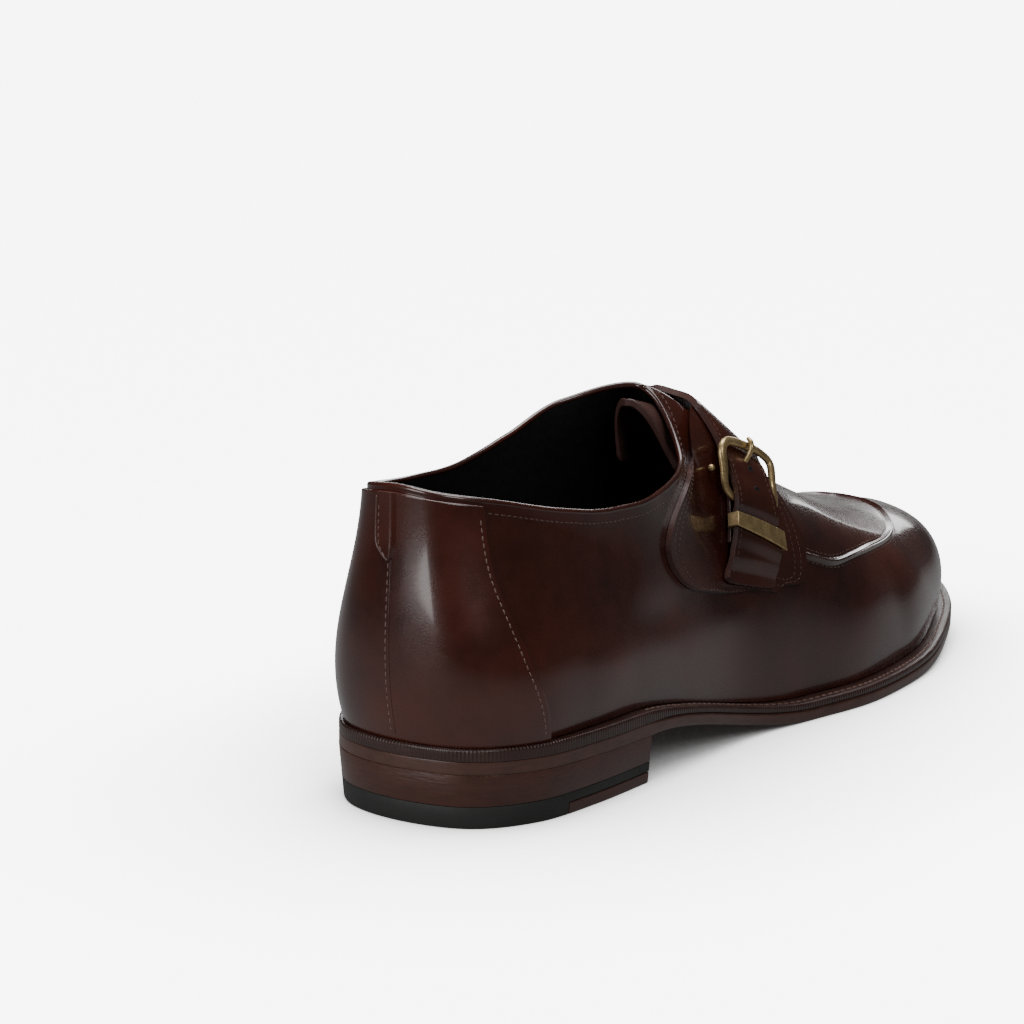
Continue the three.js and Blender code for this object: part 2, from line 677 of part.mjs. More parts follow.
// Saddle panel on each side of the instep, with a rounded foot.
// Each row gives the rows of the upper that its back and front edges reach, and their shares
// of the rise.
const SADDLE_EDGE = [
  { back: 6.45, front: 6.78, atBack: 0.33, atFront: 0.27 },
  { back: 5.71, front: 7.22, atBack: 0.465, atFront: 0.272 },
  { back: 5.26, front: 7.4, atBack: 0.545, atFront: 0.32 },
  { back: 5.01, front: 7.51, atBack: 0.68, atFront: 0.388 },
  { back: 5.04, front: 7.575, atBack: 0.8, atFront: 0.46 },
  { back: 5.42, front: 7.63, atBack: 0.915, atFront: 0.547 },
  { back: 5.95, front: 7.75, atBack: 0.945, atFront: 0.68 },
  { back: 6.62, front: 7.95, atBack: 0.8, atFront: 0.75 },
  { back: 7.45, front: 8.05, atBack: 0.79, atFront: 0.82 },
];
function makeSaddle(side) {
  const face = (row, across, lift) => offUpper(side,
    mix(row.back, row.front, across), mix(row.atBack, row.atFront, across), lift);
  const stations = shares(14).map((share) => tableRow(SADDLE_EDGE, share));
  return sheet(face, stations, shares(9), SADDLE_GAP, SADDLE_GAP + SADDLE);
}

// Tongue: follows the inside of the vamp up to the throat, then stands free past the collar.
// It is set in towards a core line TONGUE_CORE below the ridge.
// front and exit are its rows under the vamp and at the throat, bend rounds its top edge,
// side is the share of the rise its two edges lie at, hidden the share of it under the vamp.
// free is the move of its top edge from the throat, in x outwards, y and z, at its middle
// and at its two ends.
const TONGUE_PART = { front: 8.3, exit: 7.08, bend: 0.5, side: 0.62, hidden: 0.5 };
const TONGUE_FREE = {
  middle: new THREE.Vector3(0, -TONGUE_REACH, TONGUE_RISE),
  [LATERAL]: new THREE.Vector3(-5, -TONGUE_REACH - 3, TONGUE_RISE * 0.3),
  [MEDIAL]: new THREE.Vector3(5, -TONGUE_REACH - 8, TONGUE_RISE * 0.9),
};
function tonguePoint(share, across, depth) {
  const side = across >= 0 ? LATERAL : MEDIAL;
  const spread = Math.abs(across);
  const { front, exit, bend, side: end, hidden } = TONGUE_PART;
  const row = mix(front, exit, Math.min(share / hidden, 1)) - bend * spread * (1 - spread);
  const point = upperPoint(side, row, mix(1, end, spread));
  const core = new THREE.Vector3(0, point.y, topPoint(side, row).z - TONGUE_CORE);
  point.addScaledVector(core.sub(point).normalize(), WALL + TONGUE_GAP + depth);
  const out = Math.max(share - hidden, 0) / (1 - hidden);
  const move = TONGUE_FREE.middle.clone().lerp(TONGUE_FREE[side], spread ** 1.5);
  return point.addScaledVector(move, out);
}
const makeTongue = () => sheet(tonguePoint, shares(8), shares(12, -1, 1), TONGUE, 0);

// Strap: one band over the instep with a tapered end on each side, read outwards from the ridge.
// back and front are its two edges on the upper, each a row and a share of the rise.
const STRAP_EDGES = {
  [LATERAL]: [
    { back: 7.2, backAt: 1.0, front: 8.1, frontAt: 1.0 },
    { back: 7.16, backAt: 0.9, front: 7.86, frontAt: 0.885 },
    { back: 6.96, backAt: 0.785, front: 7.6, frontAt: 0.74 },
    { back: 6.78, backAt: 0.68, front: 7.3, frontAt: 0.6 },
    { back: 6.64, backAt: 0.63, front: 7.08, frontAt: 0.5 },
    { back: 6.46, backAt: 0.59, front: 6.96, frontAt: 0.42 },
    { back: 6.3, backAt: 0.555, front: 6.86, frontAt: 0.35 },
    { back: 6.15, backAt: 0.525, front: 6.8, frontAt: 0.325 },
    { back: 6.0, backAt: 0.493, front: 6.74, frontAt: 0.305 },
    { back: 5.9, backAt: 0.465, front: 6.68, frontAt: 0.285 },
  ],
  [MEDIAL]: [
    { back: 7.2, backAt: 1.0, front: 8.1, frontAt: 1.0 },
    { back: 7.14, backAt: 0.91, front: 7.82, frontAt: 0.89 },
    { back: 6.94, backAt: 0.835, front: 7.56, frontAt: 0.775 },
    { back: 6.74, backAt: 0.77, front: 7.3, frontAt: 0.67 },
    { back: 6.54, backAt: 0.71, front: 7.08, frontAt: 0.58 },
    { back: 6.34, backAt: 0.66, front: 6.92, frontAt: 0.505 },
    { back: 6.15, backAt: 0.62, front: 6.76, frontAt: 0.445 },
    { back: 5.97, backAt: 0.58, front: 6.63, frontAt: 0.405 },
    { back: 5.82, backAt: 0.545, front: 6.5, frontAt: 0.37 },
    { back: 5.7, backAt: 0.515, front: 6.4, frontAt: 0.34 },
  ],
};
const STRAP_END = STRAP_EDGES[LATERAL].length - 1;
const STATION = { flatFrom: 2, topBar: 3, leg: 3.9, flatTo: 4, hinge: 4.8, keeper: 5.65 };

// Heights above the upper, built up layer by layer
const saddleTop = SADDLE_GAP + SADDLE;
const chapeLow = saddleTop + CHAPE_GAP;
const chapeTop = chapeLow + CHAPE;
const hingeAt = chapeTop + GAP + HINGE_ROD / 2;
const keeperLow = chapeTop + GAP;
const strapOnBar = saddleTop + 2 * LAYER_GAP;
const strapOnHinge = hingeAt + HINGE_ROD / 2 + GAP;
const strapOnKeeper = keeperLow + KEEPER_BACK + LAYER_GAP;
const keeperHigh = strapOnKeeper + STRAP + LAYER_GAP;
const topBarAt = strapOnBar + STRAP + 2 * GAP + FRAME_HEIGHT / 2;
const STRAP_LIFTS = [
  { at: 0, lift: STRAP_LIFT },
  { at: 2, lift: STRAP_LIFT },
  { at: 3, lift: strapOnBar },
  { at: 3.9, lift: mix(strapOnBar, strapOnHinge, 0.62) },
  { at: 4.6, lift: strapOnHinge },
  { at: 5.0, lift: strapOnHinge },
  { at: 5.3, lift: strapOnKeeper },
  { at: 6.0, lift: strapOnKeeper },
  { at: 7.1, lift: chapeTop + LAYER_GAP },
  { at: 8.2, lift: saddleTop + 2 * LAYER_GAP },
  { at: STRAP_END, lift: saddleTop + 2 * LAYER_GAP },
];

// Point over the upper by station along the strap, share across it and height.
// Leather and metal are stiff across the strap: away from the ridge they stay nearly flat.
function strapPoint(side, station, across, lift) {
  const row = tableRow(STRAP_EDGES[side], station / STRAP_END);
  const at = (share) => offUpper(side, mix(row.back, row.front, share),
    Math.min(mix(row.backAt, row.frontAt, share), 1), lift);
  const flat = at(0.5).addScaledVector(at(1).sub(at(0)), across - 0.5);
  return at(across).lerp(flat, STRAP_STIFFNESS * smooth(station, STATION.flatFrom, STATION.flatTo));
}
function strapLift(station) {
  const next = Math.max(STRAP_LIFTS.findIndex(({ at }) => at >= station), 1);
  const [from, to] = [STRAP_LIFTS[next - 1], STRAP_LIFTS[next]];
  return mix(from.lift, to.lift, smooth(station, from.at, to.at));
}

// How far the strap's tip is cut in from each edge at the stations past its full width
const TIP_ROUND = [
  { past: 0, cut: 0.0 },
  { past: STRAP_TIP * 0.5, cut: 0.04 },
  { past: STRAP_TIP * 0.83, cut: 0.13 },
  { past: STRAP_TIP, cut: 0.26 },
];
function makeStrap() {
  const acrosses = shares(5);
  const spots = [];
  for (const { side } of SIDES) {
    const run = shares(18, 0, STRAP_END - STRAP_TIP).map((station) => ({ side, station, cut: 0 }));
    const tip = TIP_ROUND.slice(1)
      .map(({ past, cut }) => ({ side, station: STRAP_END - STRAP_TIP + past, cut }));
    const half = [...run, ...tip];
    spots.push(...(side === LATERAL ? half.reverse() : half.slice(1)));
  }
  const face = ({ side, station, cut }, across, lift) =>
    strapPoint(side, station, mix(cut, 1 - cut, across), strapLift(station) + lift);
  let band = toManifold(sheet(face, spots, acrosses, 0, STRAP));
  for (const { side } of SIDES) {
    band = band.subtract(toManifold(makeProng(side, PRONG_ROD / 2 + GAP)));
  }
  return fromManifold(band);
}

// Round rod along a curve with closed flat ends
function rod(points, radius, steps) {
  const curve = new THREE.CatmullRomCurve3(points, false, 'catmullrom', 0.5);
  const corners = shares(ROD_CORNERS).slice(1).map((turn) => new THREE.Vector2(
    radius * Math.cos(turn * 2 * Math.PI), radius * Math.sin(turn * 2 * Math.PI)));
  return new THREE.ExtrudeGeometry(new THREE.Shape(corners), { steps, extrudePath: curve });
}

// Buckle frame: a closed ring, its hinge bar below the strap and its top bar over it.
// across counts from the strap's back edge (0) to its front edge (1); out is how far the leg
// stands outside that edge, as a share of the play and half the frame's width; lift is a share
// of the way from the hinge bar's height to the top bar's.
const FRAME_PATH = [
  { at: STATION.topBar, across: 0.12, out: 0, lift: 1 },
  { at: STATION.topBar, across: 0.5, out: 0, lift: 1, bow: 1 },
  { at: STATION.topBar, across: 0.88, out: 0, lift: 1 },
  { at: STATION.topBar + 0.2, across: 1, out: 1, lift: 0.95 },
  { at: STATION.leg, across: 1, out: 1.1, lift: 0.6 },
  { at: STATION.hinge - 0.3, across: 1, out: 1, lift: 0.12 },
  { at: STATION.hinge, across: 0.88, out: 0, lift: 0 },
  { at: STATION.hinge, across: 0.5, out: 0, lift: 0, bow: 0 },
  { at: STATION.hinge, across: 0.12, out: 0, lift: 0 },
  { at: STATION.hinge - 0.3, across: 0, out: -1, lift: 0.12 },
  { at: STATION.leg, across: 0, out: -1.1, lift: 0.6 },
  { at: STATION.topBar + 0.2, across: 0, out: -1, lift: 0.95 },
];
function frameSpots(side) {
  const width = (at) => strapPoint(side, at, 0, 0).distanceTo(strapPoint(side, at, 1, 0));
  const leg = BUCKLE_SIDE_PLAY + FRAME_WIDTH / 2;
  const spots = FRAME_PATH.map(({ at, across, out, lift, bow }) => {
    const where = across + out * leg / width(at);
    const point = strapPoint(side, at, where, mix(hingeAt, topBarAt, lift));
    const up = point.clone().sub(strapPoint(side, at, where, 0)).normalize();
    return { point, up, lift, bow };
  });
  spots.forEach((spot, i) => {
    if (spot.bow !== undefined) {
      spot.point.lerpVectors(spots[i - 1].point, spots[i + 1].point, 0.5);
      spot.up.addVectors(spots[i - 1].up, spots[i + 1].up).normalize();
      spot.point.addScaledVector(spot.up, spot.bow * BAR_BOW);
    }
  });
  return spots;
}
function makeBuckle(side) {
  const spots = frameSpots(side);
  const closed = (list) => new THREE.CatmullRomCurve3(list, true, 'catmullrom', 0.5);
  const path = closed(spots.map(({ point }) => point));
  const ups = closed(spots.map(({ up }) => up));
  const sizes = closed(spots.map(({ lift }) => new THREE.Vector3(
    mix(HINGE_ROD, FRAME_WIDTH, Math.sqrt(lift)), mix(HINGE_ROD, FRAME_HEIGHT, lift), 0)));
  const sections = shares(RING_STEPS).slice(1).map((share) => {
    const along = path.getTangent(share);
    const across = new THREE.Vector3().crossVectors(ups.getPoint(share), along).normalize();
    const up = new THREE.Vector3().crossVectors(along, across);
    const size = sizes.getPoint(share);
    return shares(ROD_CORNERS).slice(1).map((turn) => {
      const angle = turn * 2 * Math.PI;
      return path.getPoint(share)
        .addScaledVector(across, size.x / 2 * Math.cos(angle))
        .addScaledVector(up, size.y / 2 * Math.sin(angle));
    });
  });
  return loft(sections, true);
}

// Prong: from beside the hinge bar, under the strap, up through its hole and over the top bar.
// lift is a share of the strap's own height at that station.
const PRONG_PATH = [
  { at: 4.56, lift: 0.76 },
  { at: 4.25, lift: 0.7 },
  { at: 3.95, lift: 0.72 },
  { at: 3.7, lift: 0.98 },
];
function makeProng(side, radius = PRONG_ROD / 2) {
  const under = PRONG_PATH.map(({ at, lift }) => strapPoint(side, at, 0.5, lift * strapLift(at)));
  const bar = frameSpots(side)[1];
  const over = FRAME_HEIGHT / 2 + GAP + PRONG_ROD / 2;
  const rest = bar.point.clone().addScaledVector(bar.up, over);
  const ahead = bar.point.clone().sub(strapPoint(side, STATION.leg, 0.5, topBarAt)).normalize();
  const beside = (reach) => rest.clone().addScaledVector(ahead, reach).addScaledVector(bar.up, -GAP);
  return rod([...under, beside(-PRONG_TIP), rest, beside(PRONG_TIP)], radius, PRONG_STEPS);
}

// Keeper: flat plate bent into a closed loop around strap and chape
function makeKeeper(side) {
  const width = strapPoint(side, STATION.keeper, 0, 0).distanceTo(strapPoint(side, STATION.keeper, 1, 0));
  const after = strapPoint(side, STATION.keeper + 1, 0.5, 0);
  const length = strapPoint(side, STATION.keeper, 0.5, 0).distanceTo(after);
  const play = GAP / width;
  const plate = KEEPER_PLATE / width;
  const halfRun = KEEPER_WIDTH / 2 / length;
  const loop = [
    ...shares(4).map((a) => [mix(-play, 1 + play, a), keeperLow + KEEPER_BACK,
      mix(-play - plate, 1 + play + plate, a), keeperLow]),
    ...shares(4).reverse().map((a) => [mix(-play, 1 + play, a), keeperHigh,
      mix(-play - plate, 1 + play + plate, a), keeperHigh + KEEPER_PLATE]),
  ];
  const sections = loop.map(([innerAcross, innerLift, outerAcross, outerLift]) => [
    strapPoint(side, STATION.keeper - halfRun, innerAcross, innerLift),
    strapPoint(side, STATION.keeper - halfRun, outerAcross, outerLift),
    strapPoint(side, STATION.keeper + halfRun, outerAcross, outerLift),
    strapPoint(side, STATION.keeper + halfRun, innerAcross, innerLift),
  ]);
  return loft(sections, true);
}

// Chape: the leather tab on the saddle that holds the hinge bar and the keeper
function makeChape(side) {
  const face = (station, across, lift) => strapPoint(side, station, across, lift);
  const stations = shares(6, STATION.hinge - 0.2, STATION.keeper + 0.9);
  return sheet(face, stations, shares(6, 0.02, 0.98), chapeLow, chapeTop);
}

const material = (color, roughness, metalness = 0) =>
  new THREE.MeshStandardMaterial({ color, roughness, metalness });
const LEATHER = material(0x35191a, 0.3);
const SOLE_LEATHER = material(0x3d2c2b, 0.45);
const STACK_LEATHER = material(0x4a3534, 0.45);
const RUBBER = material(0x2b2b2a, 0.8);
const LINING = material(0x1a1514, 0.8);
const BRASS = material(0x8f7440, 0.35, 1);

const shoe = new THREE.Group();
function add(name, geometry, finish) {
  const mesh = new THREE.Mesh(geometry, finish);
  mesh.name = name;
  shoe.add(mesh);
}

add('outsole', soleLayer(outsoleEdge), SOLE_LEATHER);
add('welt', makeBand(weltStations()), SOLE_LEATHER);
add('heel_rand', makeBand(randStations()), SOLE_LEATHER);
add('insole', soleLayer(insoleEdge), LINING);
add('heel_stack', soleLayer(heelEdge, breastRow), STACK_LEATHER);
add('top_piece', makeTopPiece(), RUBBER);
add('top_piece_corner', makeTopPieceCorner(), STACK_LEATHER);
add('upper', makeUpper(), LEATHER);
add('counter', makeCounter(), LEATHER);
add('back_tab', makeBackTab(), LEATHER);
add('apron_seam', makeApronSeam(), LEATHER);
add('tongue', makeTongue(), LEATHER);
add('strap', makeStrap(), LEATHER);
for (const { side, name } of SIDES) {
  add(`saddle_${name}`, makeSaddle(side), LEATHER);
  add(`chape_${name}`, makeChape(side), LEATHER);
  add(`buckle_${name}`, makeBuckle(side), BRASS);
  add(`prong_${name}`, makeProng(side), BRASS);
  add(`keeper_${name}`, makeKeeper(side), BRASS);
}

// Origin under the middle of the whole, on the floor
const whole = new THREE.Box3().setFromObject(shoe);
const middle = whole.getCenter(new THREE.Vector3());
shoe.position.set(-middle.x, -middle.y, -whole.min.z);

export default shoe;
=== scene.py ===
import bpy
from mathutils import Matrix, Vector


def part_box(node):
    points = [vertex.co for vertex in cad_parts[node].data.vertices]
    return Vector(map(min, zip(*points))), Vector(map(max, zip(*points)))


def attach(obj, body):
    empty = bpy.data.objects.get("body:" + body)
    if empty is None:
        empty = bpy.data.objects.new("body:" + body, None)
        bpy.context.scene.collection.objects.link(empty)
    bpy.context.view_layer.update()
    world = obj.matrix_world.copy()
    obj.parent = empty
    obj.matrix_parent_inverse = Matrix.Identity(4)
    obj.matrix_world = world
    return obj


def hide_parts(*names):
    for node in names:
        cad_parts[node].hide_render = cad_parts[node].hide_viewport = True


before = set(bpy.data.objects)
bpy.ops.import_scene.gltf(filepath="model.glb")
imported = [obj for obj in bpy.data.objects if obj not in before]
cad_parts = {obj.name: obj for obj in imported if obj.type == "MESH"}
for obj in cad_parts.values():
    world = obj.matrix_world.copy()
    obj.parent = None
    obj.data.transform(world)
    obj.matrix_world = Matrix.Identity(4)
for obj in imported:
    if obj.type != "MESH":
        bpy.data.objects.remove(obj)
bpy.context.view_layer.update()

import math
import bmesh
import bpy
import mathutils
import numpy as np

# Outsole
# One piece of sole leather from heel to toe, cut to the outline of the last.
# Its edge is trimmed, stained dark and waxed; every other piece is lasted or nailed on to it.
SOLE_LENGTH, BALL_WIDTH, WAIST_WIDTH, HEEL_WIDTH = 300.0, 101.0, 71.0, 76.0
HEEL_LENGTH, HEEL_HEIGHT, HEEL_PITCH = 71.0, 14.4, 0.02
TOE_SPRING, TREAD_START, TREAD_END = 10.0, 158.0, 196.0
GAP, OUTSOLE = 0.3, 3.7
LATERAL, MEDIAL = 1, -1
SIDES = (LATERAL, MEDIAL)

# Outline of the sole from the back of the heel to the tip of the toe, one row per section:
# size that widths are half-shares of, lateral width and run, medial width and run.
OUTLINE = (
    (HEEL_WIDTH, 0.0, 0.0, 0.0, 0.0),
    (HEEL_WIDTH, 0.574, 0.017, 0.558, 0.017),
    (HEEL_WIDTH, 0.905, 0.073, 0.9, 0.073),
    (HEEL_WIDTH, 1.008, 0.15, 0.995, 0.15),
    (HEEL_WIDTH, 1.035, 0.24, 0.91, 0.24),
    (WAIST_WIDTH, 1.113, 0.333, 0.859, 0.333),
    (WAIST_WIDTH, 1.127, 0.427, 0.901, 0.433),
    (WAIST_WIDTH, 1.262, 0.513, 1.07, 0.527),
    (BALL_WIDTH, 0.996, 0.6, 0.911, 0.627),
    (BALL_WIDTH, 1.0, 0.677, 0.994, 0.713),
    (BALL_WIDTH, 0.947, 0.76, 0.966, 0.773),
    (BALL_WIDTH, 0.802, 0.84, 0.871, 0.853),
    (BALL_WIDTH, 0.584, 0.923, 0.697, 0.93),
    (BALL_WIDTH, 0.283, 0.98, 0.41, 0.983),
    (BALL_WIDTH, -0.079, 1.0, 0.079, 1.0),
)
LAST_ROW = len(OUTLINE) - 1
THROAT_ROW = LAST_ROW / 2


def curve_through(values, before, after, at):
    """Smooth curve through equally spaced values, with one more value before and after them."""
    knots = np.concatenate(([before], values, [after]))
    row = np.clip(np.floor(at).astype(int), 0, len(values) - 2)
    f = at - row
    a, b, c, d = knots[row], knots[row + 1], knots[row + 2], knots[row + 3]
    bend, twist = 2 * a - 5 * b + 4 * c - d, 3 * b - a - 3 * c + d
    return 0.5 * (2 * b + (c - a) * f + bend * f ** 2 + twist * f ** 3)


def outline_lists(side):
    width, run = (1, 2) if side == LATERAL else (3, 4)
    return (np.array([side * row[width] * row[0] / 2 for row in OUTLINE]),
            np.array([row[run] * SOLE_LENGTH for row in OUTLINE]))


def outline(side, u):
    own, other = outline_lists(side), outline_lists(-side)
    return np.stack([curve_through(own[k], other[k][1], other[k][-2], u) for k in (0, 1)], -1)


def inset_outline(side, u, inset):
    """The outline moved inwards by a distance in millimetres."""
    u = np.asarray(u, float)
    step = 0.02
    here = outline(side, u)
    along = outline(side, np.minimum(u + step, LAST_ROW)) - outline(side, np.maximum(u - step, 0))
    along = along / np.linalg.norm(along, axis=-1, keepdims=True)
    x = here[..., 0] - side * along[..., 1] * inset
    y = here[..., 1] + side * along[..., 0] * inset
    x = np.where((u < step) | (u > LAST_ROW - step), here[..., 0], x)
    y = np.where(u < step, here[..., 1] + inset, y)
    y = np.where(u > LAST_ROW - step, here[..., 1] - inset, y)
    return np.stack([x, y], -1)


def ease(at, start, end):
    f = np.clip((at - start) / (end - start), 0, 1)
    return f * f * (3 - 2 * f)


def sole_underside(y):
    heel = HEEL_HEIGHT + (HEEL_LENGTH - y) * HEEL_PITCH
    waist = HEEL_HEIGHT * (1 - ease(y, HEEL_LENGTH, TREAD_START))
    lift = np.clip((y - TREAD_END) / (SOLE_LENGTH - TREAD_END), 0, 1)
    return np.where(y < HEEL_LENGTH, heel, np.where(y < TREAD_START, waist, TOE_SPRING * lift ** 2))


def sole_top(y):
    return sole_underside(y) + OUTSOLE


# The sole's back edge and its middle, a little to the side, give the way from drawing to frame
MIDDLE = 0.3
ORIGIN = np.array([MIDDLE, -1000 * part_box("outsole")[0][1], 0.0])


def to_frame(points):
    return (np.asarray(points, float) - ORIGIN) / 1000


def weave_faces(rows, columns, start, ring):
    """Quads of a grid whose points are numbered row by row; ring closes each row on itself."""
    count = columns if ring else columns - 1
    i, j = np.meshgrid(np.arange(rows - 1), np.arange(count), indexing="ij")
    k = (j + 1) % columns
    here, ahead = i * columns, (i + 1) * columns
    return np.stack([here + j, here + k, ahead + k, ahead + j], -1).reshape(-1, 4) + start


WELDS_PER_MM, SHARP_ANGLE, ALL_GRIDS = 500, 55, 99


def piece(name, grids, material, ring=False, weld=True, edge=None,
          edges_from=ALL_GRIDS, runs=None):
    """One object from grids of points in millimetres of the drawing, welded where they meet.
    Grids from the number edges_from on take the edge material; runs is a length along each grid."""
    points, faces, marks, start = [], [], [], 0
    for number, grid in enumerate(grids):
        rows, columns = grid.shape[:2]
        points.append(grid.reshape(-1, 3))
        faces.append(weave_faces(rows, columns, start, ring))
        marks += [int(number >= edges_from)] * len(faces[-1])
        start += rows * columns
    points, faces = np.concatenate(points), np.concatenate(faces)
    first = np.arange(len(points))
    if weld:
        key = np.round(points * WELDS_PER_MM).astype(np.int64)
        _, first, group = np.unique(key, axis=0, return_index=True, return_inverse=True)
        points, faces = points[first], group.reshape(-1)[faces]
    clean, kept = [], []
    for quad, mark in zip(faces.tolist(), marks):
        corners = list(dict.fromkeys(quad))
        if len(corners) > 2:
            clean.append(corners)
            kept.append(mark)
    mesh = bpy.data.meshes.new(name)
    mesh.from_pydata(to_frame(points).tolist(), [], clean)
    mesh.materials.append(material)
    mesh.materials.append(edge or material)
    mesh.polygons.foreach_set("material_index", kept)
    mesh.polygons.foreach_set("use_smooth", [True] * len(mesh.polygons))
    work = bmesh.new()
    work.from_mesh(mesh)
    bmesh.ops.recalc_face_normals(work, faces=work.faces)
    work.to_mesh(mesh)
    work.free()
    mesh.set_sharp_from_angle(angle=math.radians(SHARP_ANGLE))
    if runs is not None:
        along = mesh.attributes.new("run", "FLOAT", "POINT")
        along.data.foreach_set("value", np.concatenate([r.reshape(-1) for r in runs])[first])
    made = bpy.data.objects.new(name, mesh)
    bpy.context.collection.objects.link(made)
    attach(made, "root")
    return made


def soften(made, width, angle=50, segments=2):
    """Rounds the cut edges of a piece; width in millimetres."""
    bevel = made.modifiers.new("rounded_edge", "BEVEL")
    bevel.width, bevel.segments = width / 1000, segments
    bevel.limit_method, bevel.angle_limit = "ANGLE", math.radians(angle)
    return made


def around(stations, inset, height):
    """Points around the sole's edge at (side, row) stations."""
    places = []
    for side, u in stations:
        u = np.array([float(u)])
        distance = inset(u) if callable(inset) else inset
        x, y = inset_outline(side, u, distance)[0]
        places.append((x, y, float(height(y))))
    return np.array(places)


def full_round(count):
    rows = np.linspace(0, LAST_ROW, count)
    return [(LATERAL, u) for u in rows] + [(MEDIAL, u) for u in rows[::-1][1:]]


def edge_band(name, stations, profile, material):
    """A band around the sole from a profile of (inset, height) pairs."""
    grid = np.stack([around(stations, inset, height) for inset, height in profile], 1)
    steps = np.linalg.norm(np.diff(grid[:, 2], axis=0), axis=1)
    run = np.concatenate([[0], steps.cumsum()])
    return piece(name, [grid], material, runs=[np.repeat(run[:, None], len(profile), 1)])


def fill_across(rows, inset, height):
    """A surface from the lateral edge to the medial edge, ten points across."""
    lateral, medial = (around([(side, u) for u in rows], inset, height)[:, None] for side in SIDES)
    share = np.linspace(0, 1, 10)[None, :, None]
    return lateral * (1 - share) + medial * share


def add_node(tree, kind, settings=(), values=(), **sockets):
    """A shader node with its settings, and its inputs by place or by name."""
    made = tree.nodes.new(kind)
    for key, value in dict(settings).items():
        setattr(made, key, value)
    pairs = list(enumerate(values)) + [(key.replace("_", " "), value) for key, value in sockets.items()]
    for key, value in pairs:
        if isinstance(value, bpy.types.NodeSocket):
            tree.links.new(value, made.inputs[key])
        elif value is not None:
            made.inputs[key].default_value = value
    return made


def maths(tree, operation, *values):
    return add_node(tree, "ShaderNodeMath", {"operation": operation}, values).outputs[0]


def colour_between(tree, share, first, second):
    made = tree.nodes.new("ShaderNodeMix")
    made.data_type = "RGBA"
    for key, value in ((0, share), (6, first), (7, second)):
        tree.links.new(value, made.inputs[key])
    return made.outputs[2]


def new_group(name, inputs):
    """A finish: a node group with named inputs that gives colour, roughness and height."""
    group = bpy.data.node_groups.new(name, "ShaderNodeTree")
    for label, value in inputs:
        kind = "Float" if value is not None else "Vector" if label == "Vector" else "Color"
        socket = group.interface.new_socket(label, in_out="INPUT", socket_type="NodeSocket" + kind)
        if value is not None:
            socket.default_value = value
    for label, kind in (("Color", "Color"), ("Roughness", "Float"), ("Height", "Float")):
        group.interface.new_socket(label, in_out="OUTPUT", socket_type="NodeSocket" + kind)
    return group, group.nodes.new("NodeGroupInput").outputs, group.nodes.new("NodeGroupOutput").inputs


def noise(tree, vector, scale, detail=3.0, roughness=0.5):
    return add_node(tree, "ShaderNodeTexNoise", Vector=vector, Scale=scale, Detail=detail,
                    Roughness=roughness).outputs[0]


def finish_group(group, outside, share, first, second, roughness, height):
    """Ends a finish: its colour lies at a share between two colours."""
    share = add_node(group, "ShaderNodeClamp", values=(share,)).outputs[0]
    group.links.new(colour_between(group, share, first, second), outside["Color"])
    group.links.new(roughness, outside["Roughness"])
    group.links.new(height, outside["Height"])


# Burnished edge leather: fibres run level along the cut edge, darker where the wax has pooled
edge_group, inside, outside = new_group(
    "burnished_edge", [("Dark", None), ("Light", None), ("Layer", 900.0), ("Vector", None)])
stretch = add_node(edge_group, "ShaderNodeCombineXYZ", X=160.0, Y=160.0, Z=inside["Layer"])
level = add_node(edge_group, "ShaderNodeVectorMath", {"operation": "MULTIPLY"},
                 (inside["Vector"], stretch.outputs[0])).outputs[0]
fibres = noise(edge_group, level, 1.0, 4.0, 0.6)
mottle = noise(edge_group, inside["Vector"], 90.0, 4.0, 0.6)
share = maths(edge_group, "MULTIPLY_ADD", fibres, 1.3, -0.35)
share = maths(edge_group, "MULTIPLY_ADD", mottle, 0.7, maths(edge_group, "MULTIPLY", share, 0.65))
finish_group(edge_group, outside, share, inside["Dark"], inside["Light"],
             maths(edge_group, "MULTIPLY_ADD", mottle, 0.25, 0.24), fibres)


def new_material(name):
    made = bpy.data.materials.new(name)
    made.use_nodes = True
    tree = made.node_tree
    place = add_node(tree, "ShaderNodeTexCoord").outputs["Object"]
    return made, tree, tree.nodes["Principled BSDF"], place


def add_relief(tree, shader, strength, distance, height):
    bump = add_node(tree, "ShaderNodeBump", Strength=strength, Distance=distance, Height=height)
    tree.links.new(bump.outputs[0], shader.inputs["Normal"])


def two_tones(tree, shader, share, dark, light):
    """Base colour from a ramp between two tones."""
    ramp = add_node(tree, "ShaderNodeValToRGB", values=(share,))
    for element, tone in zip(ramp.color_ramp.elements, (dark, light)):
        element.color = (*tone, 1)
    tree.links.new(ramp.outputs[0], shader.inputs["Base Color"])


def finished_material(name, group, coat=0.0, coat_roughness=0.03, **inputs):
    """A material that wears a finish under a coat of wax; returns the height of its relief too."""
    made, tree, shader, place = new_material(name)
    inputs = {key: (*value, 1) if isinstance(value, tuple) else value for key, value in inputs.items()}
    use = add_node(tree, "ShaderNodeGroup", {"node_tree": group}, Vector=place, **inputs).outputs
    tree.links.new(use["Color"], shader.inputs["Base Color"])
    tree.links.new(use["Roughness"], shader.inputs["Roughness"])
    shader.inputs["Coat Weight"].default_value = coat
    shader.inputs["Coat Roughness"].default_value = coat_roughness
    return made, tree, shader, use["Height"]


